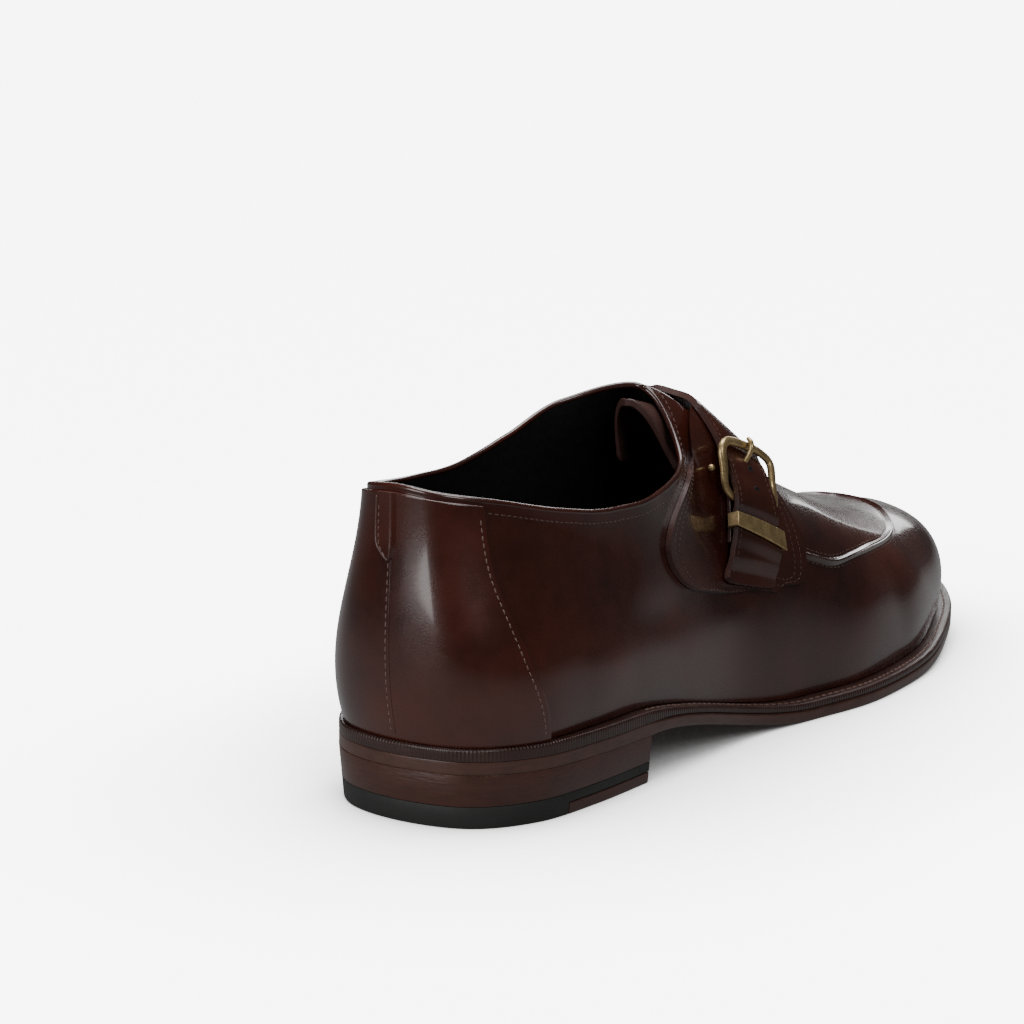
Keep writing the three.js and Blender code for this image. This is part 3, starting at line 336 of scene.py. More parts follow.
def edge_leather(name, dark, light, layer, bump=0.25, coat=0.25, pitch=0.0):
    """Material of a cut edge; pitch is the spacing of wheeled ticks in millimetres."""
    made, tree, shader, height = finished_material(name, edge_group, coat, 0.2, Dark=dark,
                                                   Light=light, Layer=layer)
    if pitch:
        run = add_node(tree, "ShaderNodeAttribute", {"attribute_name": "run"}).outputs["Fac"]
        tick = maths(tree, "SINE", maths(tree, "MULTIPLY", run, 2 * math.pi / pitch))
        height = maths(tree, "MULTIPLY_ADD", tick, 0.7, height)
    add_relief(tree, shader, bump, 0.0003, height)
    return made


sole_edge = edge_leather("sole_edge", (0.03, 0.0115, 0.0085), (0.13, 0.056, 0.041), 700.0)
SOLE_STEPS, HEEL_ENDS, WAIST_BEGINS = 190, 3.9, 4.3


def at_heel(u):
    """How far a row lies forward of the heel: 0 on it, 1 ahead of it."""
    return ease(u, HEEL_ENDS, WAIST_BEGINS)


sole_profile = [
    (lambda u: 0.1 + 1.0 * at_heel(u), sole_underside),
    (lambda u: 0.02 + 0.38 * at_heel(u), lambda y: sole_underside(y) + 0.1),
    (lambda u: 0.05 * at_heel(u), lambda y: sole_underside(y) + 0.7),
    (0.0, lambda y: sole_underside(y) + 1.8),
    (0.0, lambda y: sole_top(y) - 0.8),
    (lambda u: 0.02 + 0.1 * at_heel(u), lambda y: sole_top(y) - 0.2),
    (lambda u: 0.08 + 0.4 * at_heel(u), sole_top),
    (9.0, sole_top),
]
outsole = edge_band("outsole_edge", full_round(SOLE_STEPS), sole_profile, sole_edge)
sole_face = edge_leather("sole_face", (0.05, 0.035, 0.03), (0.11, 0.08, 0.065), 160.0, 0.1, 0.1)
sole_rows = np.linspace(0, LAST_ROW, SOLE_STEPS)
tread = piece("outsole_face", [fill_across(sole_rows, 1.1, sole_underside)], sole_face)
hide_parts("outsole")

# Heel stack and top piece
# Lifts of stacked leather, rasped and burnished as one block, with a rubber top piece nailed
# under them; its front corner is a slab of leather with a rounded breast edge.
TOP_PIECE, HEEL_TAPER, CORNER_SLAB, CORNER_START = 6.4, 1.2, 3.4, 33.0


def row_at(side, run):
    rows = np.linspace(0, LAST_ROW, 3000)
    return float(np.interp(run, outline(side, rows)[:, 1], rows))


BREAST = {side: row_at(side, HEEL_LENGTH) for side in SIDES}


def taper(z):
    return HEEL_TAPER * (1 - z / HEEL_HEIGHT)


def level(height):
    return lambda y: height + 0 * y


def heel_solid(name, start_run, end_run, low, high, material, lower=0.0, upper=0.0, rounding=0.0):
    """A layer of the heel between two runs from its back; lower and upper round its wall."""
    profile = [(lower, low), (lower * 0.3, lambda y: low(y) + lower * 0.35),
               (0.0, lambda y: low(y) + max(lower, 0.02)),
               (0.0, lambda y: high(y) - max(upper, 0.02)),
               (upper * 0.3, lambda y: high(y) - upper * 0.35), (upper, high)]
    walls = []
    for side in SIDES:
        rows = np.linspace(row_at(side, start_run) if start_run else 0, row_at(side, end_run), 50)
        columns = []
        for inset, height in profile:
            z = height(outline(side, rows)[:, 1])
            moved = inset_outline(side, rows, inset + taper(z))
            columns.append(np.concatenate([moved, z[:, None]], 1))
        walls.append(np.stack(columns, 1))
    ring = np.concatenate([walls[0], walls[1][:, ::-1]], 1)
    closed = np.concatenate([ring, ring[:, :1]], 1)
    caps = [np.stack([end[:len(profile)], end[len(profile):][::-1]])
            for end in ((ring[0], ring[-1]) if start_run else (ring[-1],))]
    made = piece(name, [closed, *caps], material)
    if rounding:
        soften(made, rounding, 60, 3)
    return made


stack_leather = edge_leather("stack_leather", (0.026, 0.0072, 0.0045), (0.1, 0.031, 0.019),
                             1500.0, 0.5, 0.35)
stack = heel_solid("heel_stack_wall", 0, HEEL_LENGTH, level(TOP_PIECE + GAP / 2),
                   lambda y: sole_underside(y) - 0.02, stack_leather, 0.06, 0.04)
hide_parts("heel_stack")

rubber, tree, shader, place = new_material("top_piece_rubber")
speckle = noise(tree, place, 900.0, 3.0, 0.6)
two_tones(tree, shader, noise(tree, place, 60.0), (0.014, 0.015, 0.014), (0.034, 0.036, 0.033))
tree.links.new(maths(tree, "MULTIPLY_ADD", speckle, 0.3, 0.4), shader.inputs["Roughness"])
add_relief(tree, shader, 0.2, 0.0002, speckle)

ground, slab_top = level(0.0), level(CORNER_SLAB + GAP)
top_back = heel_solid("top_piece_back", 0, CORNER_START, ground, slab_top, rubber, 0.5)
top_front = heel_solid("top_piece_front", 0, HEEL_LENGTH, slab_top, level(TOP_PIECE), rubber, 0.0,
                       0.08)
corner = heel_solid("top_piece_corner_slab", CORNER_START + GAP, HEEL_LENGTH, ground,
                    level(CORNER_SLAB), stack_leather, 0.4, 0.15, 0.5)
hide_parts("top_piece")
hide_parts("top_piece_corner")

# Welt and heel rand
# A strip of leather sewn to the upper and stitched down to the outsole around waist and toe,
# and a narrower one around the heel seat; the top face is wheeled with fine ticks.
WELT, RAND, WELT_LEDGE, WALL = 2.1, 3.4, 6.0, 1.8
RAND_THINS, RAND_THINNED = HEEL_LENGTH - 8, HEEL_LENGTH + 22
# Ledge of the welt beside the upper, one share of its full width for each section of the outline
LEDGE = np.array([0.45, 0.45, 0.45, 0.55, 0.67, 0.87, 1.03, 1.03, 1.0, 0.97, 0.93, 0.87, 0.8,
                  0.73, 0.7])


def section_at(column, u):
    """One value per section, read smoothly along the shoe."""
    return curve_through(column, column[1], column[-2], u)


def ledge_at(u):
    return section_at(LEDGE, u) * WELT_LEDGE


def band_thickness(y):
    return RAND + (WELT - RAND) * ease(y, RAND_THINS, RAND_THINNED)


def band_low(y):
    return sole_top(y) + GAP / 2


def band_top(y):
    return sole_top(y) + GAP + band_thickness(y)


def feather_height(y):
    return band_top(y) + GAP


welt_dark = edge_leather("welt_edge", (0.017, 0.006, 0.0045), (0.062, 0.024, 0.018), 900.0, 0.45,
                         0.3, 1.1)
welt_profile = [
    (2.0, band_low),
    (lambda u: 0.04 + 0.2 * at_heel(u), band_low),
    (0.0, lambda y: band_low(y) + 0.3),
    (0.0, lambda y: band_top(y) - 0.9),
    (lambda u: 0.1 + 0.1 * at_heel(u), lambda y: band_top(y) - 0.4),
    (lambda u: 0.4 + 0.4 * at_heel(u), lambda y: band_top(y) - 0.05),
    (lambda u: 0.8 + 0.8 * at_heel(u), band_top),
    (lambda u: ledge_at(u) + 0.6, band_top),
    (lambda u: ledge_at(u) + WALL, band_low),
]
welt_stations = ([(LATERAL, u) for u in np.linspace(BREAST[LATERAL], LAST_ROW, 150)]
                 + [(MEDIAL, u) for u in np.linspace(LAST_ROW, BREAST[MEDIAL], 150)[1:]])
welt = edge_band("welt_strip", welt_stations, welt_profile, welt_dark)
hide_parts("welt")
rand_stations = ([(MEDIAL, u) for u in np.linspace(BREAST[MEDIAL], 0, 60)]
                 + [(LATERAL, u) for u in np.linspace(0, BREAST[LATERAL], 60)[1:]])
rand = edge_band("rand_strip", rand_stations, welt_profile, welt_dark)
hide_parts("heel_rand")

# Upper
# Calf leather lasted over a smooth last with a full toe, one wall 1.8 mm thick.
# The vamp carries a few soft hollows and swells where the leather has settled.
BACK_RISE, INSTEP_RISE, BALL_RISE = 70.0, 94.0, 55.0
LAST_SWELL, COLLAR_LEAN = 7.0, 0.55

# Top line, one row per section: the size that rises are shares of, then width, run and rise
# of the collar's edge or the vamp's ridge on the lateral and on the medial side.
TOP_LINE = (
    (BACK_RISE, -0.08, 0.018, 1.0, 0.08, 0.018, 1.0),
    (BACK_RISE, 0.26, 0.027, 0.98, 0.4, 0.031, 0.98),
    (BACK_RISE, 0.55, 0.073, 0.94, 0.63, 0.08, 0.94),
    (BACK_RISE, 0.68, 0.15, 0.866, 0.74, 0.157, 0.909),
    (BACK_RISE, 0.72, 0.23, 0.823, 0.74, 0.233, 0.923),
    (INSTEP_RISE, 0.76, 0.307, 0.663, 0.745, 0.303, 0.79),
    (INSTEP_RISE, 0.56, 0.393, 0.805, 0.56, 0.373, 0.957),
    (INSTEP_RISE, 0.0, 0.422, 1.045, 0.0, 0.422, 1.045),
    (INSTEP_RISE, -0.04, 0.5, 0.832, 0.04, 0.5, 0.832),
    (INSTEP_RISE, -0.08, 0.587, 0.705, 0.08, 0.587, 0.705),
    (BALL_RISE, -0.12, 0.667, 0.993, 0.12, 0.667, 0.993),
    (BALL_RISE, -0.14, 0.74, 0.82, 0.14, 0.74, 0.82),
    (BALL_RISE, -0.14, 0.81, 0.682, 0.14, 0.81, 0.682),
    (BALL_RISE, -0.12, 0.87, 0.569, 0.12, 0.87, 0.569),
    (BALL_RISE, -0.1, 0.92, 0.5, 0.1, 0.92, 0.5),
)
# Wall of each section: swell, hip, lateral crown, medial crown, drop, fall
WALL_FORM = (
    (1.0, 0.36, 0.0, 0.0, 0.38, 0),
    (1.0, 0.36, 0.03, 0.03, 0.38, 0),
    (0.93, 0.36, 0.03, 0.03, 0.38, 0),
    (0.7, 0.36, 0.0, 0.0, 0.38, 0),
    (0.4, 0.36, 0.0, 0.0, 0.4, 0),
    (0.17, 0.38, 0.0, 0.0, 0.4, 0),
    (0.14, 0.42, 0.1, 0.2, 0.32, -0.15),
    (0.21, 0.46, 0.45, 0.53, 0.0, -0.42),
    (0.4, 0.5, 0.55, 0.58, 0.0, -0.53),
    (0.54, 0.55, 0.6, 0.6, 0.0, -0.56),
    (0.71, 0.6, 0.6, 0.6, 0.0, -0.41),
    (0.93, 0.66, 0.58, 0.58, 0.0, -0.28),
    (1.07, 0.72, 0.56, 0.56, 0.0, -0.21),
    (1.11, 0.76, 0.54, 0.54, 0.0, -0.21),
    (1.14, 0.78, 0.54, 0.54, 0.0, -0.23),
)
SWELL, HIP, CROWN, IN_CROWN, DROP, FALL = (np.array(column) for column in zip(*WALL_FORM))


def top_lists(side):
    first = 1 if side == LATERAL else 4
    return (np.array([side * row[first] * size[0] / 2 for row, size in zip(TOP_LINE, OUTLINE)]),
            np.array([row[first + 1] * SOLE_LENGTH for row in TOP_LINE]),
            np.array([row[first + 2] * row[0] for row in TOP_LINE]))


def foot_point(side, u):
    flat = inset_outline(side, u, ledge_at(u))
    return np.concatenate([flat, feather_height(flat[..., 1])[..., None]], -1)


def free_curve(values, at):
    """Smooth curve through values that runs on straight past its ends."""
    return curve_through(values, 2 * values[0] - values[1], 2 * values[-1] - values[-2], at)


def top_point(side, u):
    own, other = top_lists(side), top_lists(-side)
    half = int(THROAT_ROW)
    parts = []
    for k in range(3):
        collar = curve_through(own[k][:half + 1], other[k][1], other[k][half - 1], np.minimum(u, half))
        ridge = free_curve(own[k][half:], np.maximum(u - half, 0))
        parts.append(np.where(u < half, collar, ridge))
    base = (foot_point(LATERAL, u)[..., 2] + foot_point(MEDIAL, u)[..., 2]) / 2
    return np.stack([parts[0], parts[1], base + parts[2]], -1)


def upper_point(side, u, t):
    """Outside of the upper: u along the shoe, t from the feather edge to the top line."""
    u, t = np.broadcast_arrays(np.asarray(u, float), np.asarray(t, float))
    foot, top = foot_point(side, u), top_point(side, u)
    rise = top[..., 2] - foot[..., 2]
    out = inset_outline(side, u, ledge_at(u) - section_at(SWELL, u) * LAST_SWELL)
    hip = np.concatenate([out, (foot[..., 2] + rise * section_at(HIP, u))[..., None]], -1)
    crown = section_at(CROWN if side == LATERAL else IN_CROWN, u)
    drop = section_at(DROP, u)
    reach = (crown + COLLAR_LEAN * drop)[..., None]
    flat = top[..., :2] * (1 - reach) + foot[..., :2] * reach
    height = top[..., 2] + crown * (foot[..., 1] - top[..., 1]) * section_at(FALL, u) - drop * rise
    shoulder = np.concatenate([flat, height[..., None]], -1)
    t = t[..., None]
    return ((1 - t) ** 3 * foot + 3 * (1 - t) ** 2 * t * hip
            + 3 * (1 - t) * t ** 2 * shoulder + t ** 3 * top)


def unit(vectors):
    return vectors / np.maximum(np.linalg.norm(vectors, axis=-1, keepdims=True), 1e-9)


def side_normal(side, u, t):
    step = 0.01
    along = (upper_point(side, np.minimum(u + step, LAST_ROW), t)
             - upper_point(side, np.maximum(u - step, 0), t))
    up = (upper_point(side, u, np.minimum(t + step, 1))
          - upper_point(side, u, np.maximum(t - step, 0)))
    return unit(np.cross(along, up) * side)


CREST_START, CREST_FADE, TINY = 0.8, 0.6, 1e-6


def upper_normal(side, u, t):
    """Direction out of the upper; towards the ridge both sides come to share one."""
    u, t = np.broadcast_arrays(np.asarray(u, float), np.asarray(t, float))
    own, other = side_normal(side, u, t), side_normal(-side, u, t)
    share = ease(t, CREST_START, 1.0) * ease(u, THROAT_ROW - CREST_FADE, THROAT_ROW)
    share = np.where((u < TINY) | (u > LAST_ROW - TINY), 1.0, share)[..., None]
    return unit(own * (1 - share) + unit(own + other) * share)


def over_upper(side, u, t, lift):
    lift = np.broadcast_to(np.asarray(lift, float), np.broadcast(u, t).shape)
    return upper_point(side, u, t) + upper_normal(side, u, t) * lift[..., None]


# Soft hollows (-) and swells (+) in the leather: side, row, share of the rise, spread along and
# up, depth in millimetres.
HOLLOWS = (
    (LATERAL, 7.9, 0.2, 0.5, 0.13, -0.55),
    (LATERAL, 8.8, 0.26, 0.35, 0.12, 0.4),
    (LATERAL, 9.5, 0.2, 0.3, 0.16, -0.45),
    (LATERAL, 10.3, 0.3, 0.4, 0.12, 0.35),
    (LATERAL, 4.6, 0.45, 0.7, 0.14, -0.6),
    (LATERAL, 3.4, 0.22, 0.5, 0.12, 0.35),
    (LATERAL, 5.9, 0.3, 0.5, 0.1, 0.35),
    (MEDIAL, 8.0, 0.22, 0.5, 0.13, -0.55),
    (MEDIAL, 9.2, 0.24, 0.4, 0.14, 0.4),
    (MEDIAL, 10.2, 0.26, 0.35, 0.13, -0.4),
    (MEDIAL, 4.4, 0.5, 0.7, 0.14, -0.5),
)


def settled(side, u, t):
    """How far the worn-in leather stands off the last."""
    lift = np.zeros(np.broadcast(u, t).shape)
    for where, row, share, along, up, depth in HOLLOWS:
        if where == side:
            lift = lift + depth * np.exp(-((u - row) / along) ** 2 - ((t - share) / up) ** 2)
    return lift


def upper_grids(row_count, rise_count, lift):
    """Both sides of the upper; lift is a number or a function of side, row and rise."""
    u, t = np.meshgrid(np.linspace(0, LAST_ROW, row_count), np.linspace(0, 1, rise_count),
                       indexing="ij")
    return [over_upper(side, u, t, lift(side, u, t) if callable(lift) else lift) for side in SIDES]


# Polished calf: near-black burgundy with a redder glow, fine pores and a waxed surface
calf_group, inside, outside = new_group(
    "polished_calf", [("Deep", None), ("Glow", None), ("Pore", 2600.0), ("Vector", None)])
cloud = noise(calf_group, inside["Vector"], 22.0, 5.0, 0.55)
patch = noise(calf_group, inside["Vector"], 130.0, 4.0, 0.6)
pores = add_node(calf_group, "ShaderNodeTexVoronoi", {"feature": "SMOOTH_F1"},
                 Vector=inside["Vector"], Scale=inside["Pore"]).outputs["Distance"]
share = maths(calf_group, "MULTIPLY_ADD", cloud, 2.2, -0.7)
share = maths(calf_group, "ADD", share, maths(calf_group, "MULTIPLY_ADD", patch, 0.5, -0.25))
wave = noise(calf_group, inside["Vector"], 55.0)
height = maths(calf_group, "MULTIPLY_ADD", wave, 2.2, maths(calf_group, "MULTIPLY", patch, 0.5))
height = maths(calf_group, "MULTIPLY_ADD", pores, 0.35, height)
finish_group(calf_group, outside, share, inside["Deep"], inside["Glow"],
             maths(calf_group, "MULTIPLY_ADD", patch, 0.14, 0.2), height)


def calf(name, deep, glow, bump=0.35, coat=0.8, coat_roughness=0.1):
    made, tree, shader, height = finished_material(name, calf_group, coat, coat_roughness,
                                                   Deep=deep, Glow=glow)
    add_relief(tree, shader, bump, 0.0001, height)
    return made


calf_main = calf("calf_main", (0.019, 0.0044, 0.0028), (0.085, 0.0165, 0.0085))
upper = piece("upper_skin", upper_grids(330, 58, settled), calf_main)
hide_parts("upper")

# Lining and sock
# Smooth black calf lining glued inside the upper, and a leather sock over the insole.
lining_black, tree, shader, place = new_material("lining_black")
grain = noise(tree, place, 500.0, 4.0, 0.6)
two_tones(tree, shader, grain, (0.004, 0.0035, 0.0035), (0.014, 0.012, 0.012))
tree.links.new(maths(tree, "MULTIPLY_ADD", grain, 0.25, 0.38), shader.inputs["Roughness"])
add_relief(tree, shader, 0.25, 0.0002, grain)
lining = piece("lining", upper_grids(120, 26, -WALL), lining_black)
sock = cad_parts["insole"]
sock.data.materials.clear()
sock.data.materials.append(lining_black)
soften(sock, 0.6, 50, 3)

# Collar edge
# The top edge is skived and turned over, so it shows as a thin roll, with one row of close
# stitches three millimetres below it and the mark of the turned edge below that.
calf_edge = calf("calf_edge", (0.045, 0.02, 0.018), (0.14, 0.07, 0.06), 0.3, 0.3, 0.3)


END_SWELL, END_CLOSE = 0.6, 0.02


def tube(name, path, radius, material, corners=10):
    """A round strip along points in millimetres; radius may be one number or one per point."""
    path = np.asarray(path, float)
    along = unit(np.gradient(path, axis=0))
    up = np.zeros_like(path)
    guide = np.array([0.0, 0.0, 1.0]) if abs(along[0][2]) < 0.9 else np.array([1.0, 0.0, 0.0])
    for i, direction in enumerate(along):
        guide = guide - direction * np.dot(guide, direction)
        guide = guide / np.linalg.norm(guide)
        up[i] = guide
    across = np.cross(along, up)
    turn = np.linspace(0, 2 * math.pi, corners, endpoint=False)
    radii = np.broadcast_to(np.asarray(radius, float), len(path)).copy()
    ring = (up[:, None] * np.cos(turn)[None, :, None] + across[:, None] * np.sin(turn)[None, :, None])
    grid = path[:, None] + ring * radii[:, None, None]
    first, last = (path[end] + (along[end] * sign * END_SWELL + ring[end] * END_CLOSE) * radii[end]
                   for end, sign in ((0, -1), (-1, 1)))
    grid = np.concatenate([first[None], grid, last[None]])
    return piece(name, [grid], material, ring=True, weld=False)


UPPER_HALF = 0.55


def top_path(lift, below=0.0, first=THROAT_ROW, count=150):
    """Path along the collar a distance below its edge, with the direction out of the leather."""
    points, outs = [], []
    for side in SIDES:
        rows = np.linspace(first, 0, count)
        if side == MEDIAL:
            rows = rows[::-1][1:]
        rises = np.linspace(UPPER_HALF, 1, 60)
        u, t = np.meshgrid(rows, rises, indexing="ij")
        wall = upper_point(side, u, t)
        length = np.linalg.norm(np.diff(wall, axis=1), axis=-1)[:, ::-1].cumsum(axis=1)[:, ::-1]
        length = np.concatenate([length, np.zeros((len(rows), 1))], 1)
        at = np.array([np.interp(-below, -length[i], rises) for i in range(len(rows))])
        points.append(over_upper(side, rows, at, lift))
        outs.append(upper_normal(side, rows, at))
    return np.concatenate(points), np.concatenate(outs)


roll = tube("collar_roll", top_path(-WALL / 2)[0], 1.0, calf_main, 12)


def along_path(points, outs, pitch):
    """Places at an even pitch along a path: middle, direction and outward direction."""
    length = np.concatenate([[0], np.linalg.norm(np.diff(points, axis=0), axis=1).cumsum()])
    at = np.arange(pitch / 2, length[-1] - pitch / 4, pitch)
    read = lambda table, where: np.stack([np.interp(where, length, table[:, k]) for k in range(3)], -1)
    middle = read(points, at)
    along = unit(read(points, at + pitch / 4) - read(points, at - pitch / 4))
    return middle, along, unit(read(outs, at))


def sew(name, rows, thread, pitch=2.1, reach=1.5, thick=0.27, sink=0.1):
    """Rows of stitches, each a short rounded thread half sunk in the leather."""
    turns = np.linspace(0, 2 * math.pi, 6, endpoint=False)
    shape = [(-0.5, 0.15), (-0.42, 0.75), (-0.2, 1.0), (0.2, 1.0), (0.42, 0.75), (0.5, 0.15)]
    grids = []
    for points, outs in rows:
        middle, along, out = along_path(np.asarray(points), np.asarray(outs), pitch)
        across = unit(np.cross(along, out))
        for m, a, o, c in zip(middle, along, out, across):
            grid = np.array([[m + a * share * reach + o * (size * thick * math.sin(turn) - sink)
                              + c * size * thick * math.cos(turn) for turn in turns]
                             for share, size in shape])
            grids.append(grid)
    made = piece(name, grids, thread, ring=True, weld=False)
    return made


def thread(name, dark, light):
    """Waxed thread, its plies twisted along it."""
    made, tree, shader, place = new_material(name)
    twist = add_node(tree, "ShaderNodeTexWave", {"bands_direction": "DIAGONAL"}, Vector=place,
                     Scale=900.0, Distortion=2.0).outputs["Fac"]
    two_tones(tree, shader, twist, dark, light)
    add_relief(tree, shader, 0.4, 0.0001, twist)
    shader.inputs["Roughness"].default_value = 0.55
    return made


# Two copies of one dark-brown waxed thread: the first is lightened as painted sheen, standing in for
# light caught on the stitches; the second is darker, as painted shade where the stitches catch no
# light.
thread_painted_sheen = thread("waxed_thread", (0.08, 0.045, 0.038), (0.3, 0.19, 0.16))
thread_painted_shade = thread("waxed_thread_dim", (0.045, 0.024, 0.02), (0.15, 0.09, 0.075))
sew("collar_stitches", [top_path(0.0, 3.2, 6.95)], thread_painted_shade)
mark = tube("collar_mark", top_path(-0.12, 10.0, 5.2)[0], 0.12, calf_main, 6)

# Heel counter panel and back tab
# A panel wraps the heel from seam to seam; a small tab covers the top of its back seam.
SKIN_GAP, COUNTER, BACK_TAB = 0.45, 1.0, 0.9
COUNTER_SEAM = ((0.0, 2.22), (0.16, 2.1), (0.31, 1.95), (0.47, 1.83), (0.72, 1.68), (0.985, 1.7))


def table_curve(rows, column, share):
    """One column of a table read smoothly at a share of its length."""
    return free_curve(np.array([row[column] for row in rows], float), share * (len(rows) - 1))


def sheet(name, at, runs, acrosses, low, high, material, rounding=0.35, edge=None):
    """A sheet of leather of even thickness; its cut edges are rounded and may be of their own
    material."""
    run, across = np.meshgrid(runs, acrosses, indexing="ij")
    top, bottom = at(run, across, high), at(run, across, low)
    rims = [np.stack([top[rim], bottom[rim]], 1)
            for rim in (0, -1, (slice(None), 0), (slice(None), -1))]
    made = piece(name, [top, bottom, *rims], material, edge=edge, edges_from=2)
    return soften(made, rounding, 50, 3)


def either_side(across, point):
    """Points of the side on which each place across lies: lateral from nought up."""
    return np.where((across >= 0)[..., None], point(LATERAL), point(MEDIAL))


def counter_at(run, across, lift):
    share = table_curve(COUNTER_SEAM, 0, run)
    row = table_curve(COUNTER_SEAM, 1, run) * np.abs(across)
    return either_side(across, lambda side: over_upper(side, row, share, lift))


calf_heel = calf("calf_heel", (0.021, 0.0046, 0.003), (0.09, 0.0165, 0.0085))
counter = sheet("counter_panel", counter_at, np.linspace(0, 1, 60), np.linspace(-1, 1, 101),
                0.05, SKIN_GAP + COUNTER, calf_heel)
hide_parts("counter")


def path_on(at, runs, acrosses, lift):
    """Path over a sheet with the direction out of it."""
    runs, acrosses = np.broadcast_arrays(np.asarray(runs, float), np.asarray(acrosses, float))
    low_points, high_points = at(runs, acrosses, lift), at(runs, acrosses, lift + 1.0)
    return low_points, unit(high_points - low_points)


counter_top, counter_margin = SKIN_GAP + COUNTER, 0.955
sew("counter_stitches", [path_on(counter_at, np.linspace(0.03, 0.97, 120), edge, counter_top)
                         for edge in (counter_margin, -counter_margin)], thread_painted_sheen)

TAB_ROWS = ((0.73, 0.12), (0.76, 0.55), (0.8, 0.9), (0.9, 1.0), (0.985, 1.0))
BACK_TAB_WIDTH, TAB_LATERAL, TAB_SINK = 15.0, 0.5, 0.3
TAB_HALF_ROW = BACK_TAB_WIDTH / 2 / float(outline(LATERAL, np.array(1.0))[0])


def tab_at(run, across, lift):
    # skived to nothing on the lateral side, where it runs on into the panel
    lift = lift - (lift - counter_top + TAB_SINK) * ease(across, 0.0, TAB_LATERAL)
    share = table_curve(TAB_ROWS, 0, run)
    row = table_curve(TAB_ROWS, 1, run) * np.abs(across) * TAB_HALF_ROW
    return either_side(across, lambda side: over_upper(side, row, share, lift))


tab_top = counter_top + GAP + BACK_TAB - 0.2
tab = sheet("back_tab_panel", tab_at, np.linspace(0, 1, 26), np.linspace(-1, TAB_LATERAL, 25),
            counter_top - 0.1, tab_top, calf_heel, 0.3, calf_edge)
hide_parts("back_tab")
tab_rim = path_on(tab_at, np.linspace(0.0, 0.95, 60), -0.985, tab_top)[0]
# A thin tube of the lighter edge leather along the tab's rim: a painted highlight where the tab's edge
# catches the light.
tab_highlight_cord = tube("back_tab_painted_highlight_edge", tab_rim, 0.3, calf_edge, 8)
sew("back_tab_stitches", [path_on(tab_at, np.linspace(0.1, 0.9, 60), -0.8, tab_top)], thread_painted_sheen,
    1.9, 1.35, 0.2)

rises, stitch_row = np.linspace(0.03, 0.8, 140), 0.055
sew("back_seam_stitches", [(over_upper(MEDIAL, stitch_row, rises, counter_top),
                            upper_normal(MEDIAL, stitch_row, rises))], thread_painted_sheen, 2.3, 1.6, 0.24)
seam_line = tube("back_seam_line", over_upper(LATERAL, 0.0, rises, counter_top - 0.05), 0.28,
                 calf_heel, 8)

# Apron seam
# Vamp and apron are drawn together in a raised, pinched seam around the toe.
SEAM_WIDTH, SEAM_TOE_ROW, STITCH_MARGIN = 3.6, 13.02, 1.0
APRON_SEAM = ((7.42, 0.368), (7.75, 0.37), (8.15, 0.375), (8.75, 0.405), (9.35, 0.44),
              (10.05, 0.475), (10.75, 0.515), (11.3, 0.58), (11.8, 0.665), (12.25, 0.77),
              (12.7, 0.9))


def space_curve(points, count):
    """Even places on a smooth curve through points."""
    points = np.asarray(points, float)
    at = np.linspace(0, len(points) - 1, count)
    return np.stack([free_curve(points[:, k], at) for k in range(3)], -1)


def seam_path(count, shift=0.0):
    """Points along the seam, the direction out of the leather and the one across the seam."""
    spots = ([(LATERAL, u, t) for u, t in APRON_SEAM] + [(LATERAL, SEAM_TOE_ROW, 1.0)]
             + [(MEDIAL, u, t) for u, t in APRON_SEAM[::-1]])
    line = space_curve([upper_point(*spot) for spot in spots], count)
    out = unit(space_curve([upper_normal(*spot) for spot in spots], count))
    across = unit(np.cross(out, np.gradient(line, axis=0)))
    return line + across * shift, out, across


line, out, across = seam_path(260)
half = SEAM_WIDTH * 0.26
bead = [(-half - 0.6, -0.2), (-half, 0.15), (-half * 0.72, 0.6), (-half * 0.5, 0.85), (-0.3, 1.05),
        (-0.12, 1.0), (0.0, 0.85), (0.12, 1.0), (0.3, 1.05), (half * 0.5, 0.85), (half * 0.72, 0.6),
        (half, 0.15), (half + 0.6, -0.2)]
# the bead sinks to a twelfth of its height over nine points at each end
steps = np.arange(len(line))
fade = (ease(steps, 0, 9) * (1 - ease(steps, len(line) - 10, len(line) - 1)))[:, None]
bead_grid = np.stack([line + across * x + out * (z * (0.08 + 0.92 * fade)) for x, z in bead], 1)
seam = piece("apron_seam_ridge", [bead_grid], calf_main)
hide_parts("apron_seam")
sew("apron_stitches", [seam_path(400, sign * (half + STITCH_MARGIN))[:2] for sign in (1, -1)],
    thread_painted_shade, 2.3, 1.6, 0.22, 0.12)

# Saddle panels
# A round-footed panel on each side of the instep carries the buckle; double stitching runs
# around its foot.
SADDLE, SADDLE_GAP = 1.2, 0.7
# Rows and rises of its edge from the foot up: back row, front row, back rise, front rise
SADDLE_EDGE = (
    (6.45, 6.78, 0.33, 0.27), (5.71, 7.22, 0.465, 0.272), (5.26, 7.4, 0.545, 0.32),
    (5.01, 7.51, 0.68, 0.388), (5.04, 7.575, 0.8, 0.46), (5.42, 7.63, 0.915, 0.547),
    (5.95, 7.75, 0.945, 0.68), (6.62, 7.95, 0.8, 0.75), (7.45, 8.05, 0.79, 0.82))


def saddle_at(side):
    """The saddle of one side as a sheet: run from its foot up, across from back to front."""
    def at(run, across, lift):
        edge = [table_curve(SADDLE_EDGE, k, run) for k in range(4)]
        row = edge[0] * (1 - across) + edge[1] * across
        share = edge[2] * (1 - across) + edge[3] * across
        return over_upper(side, row, share, lift)
    return at


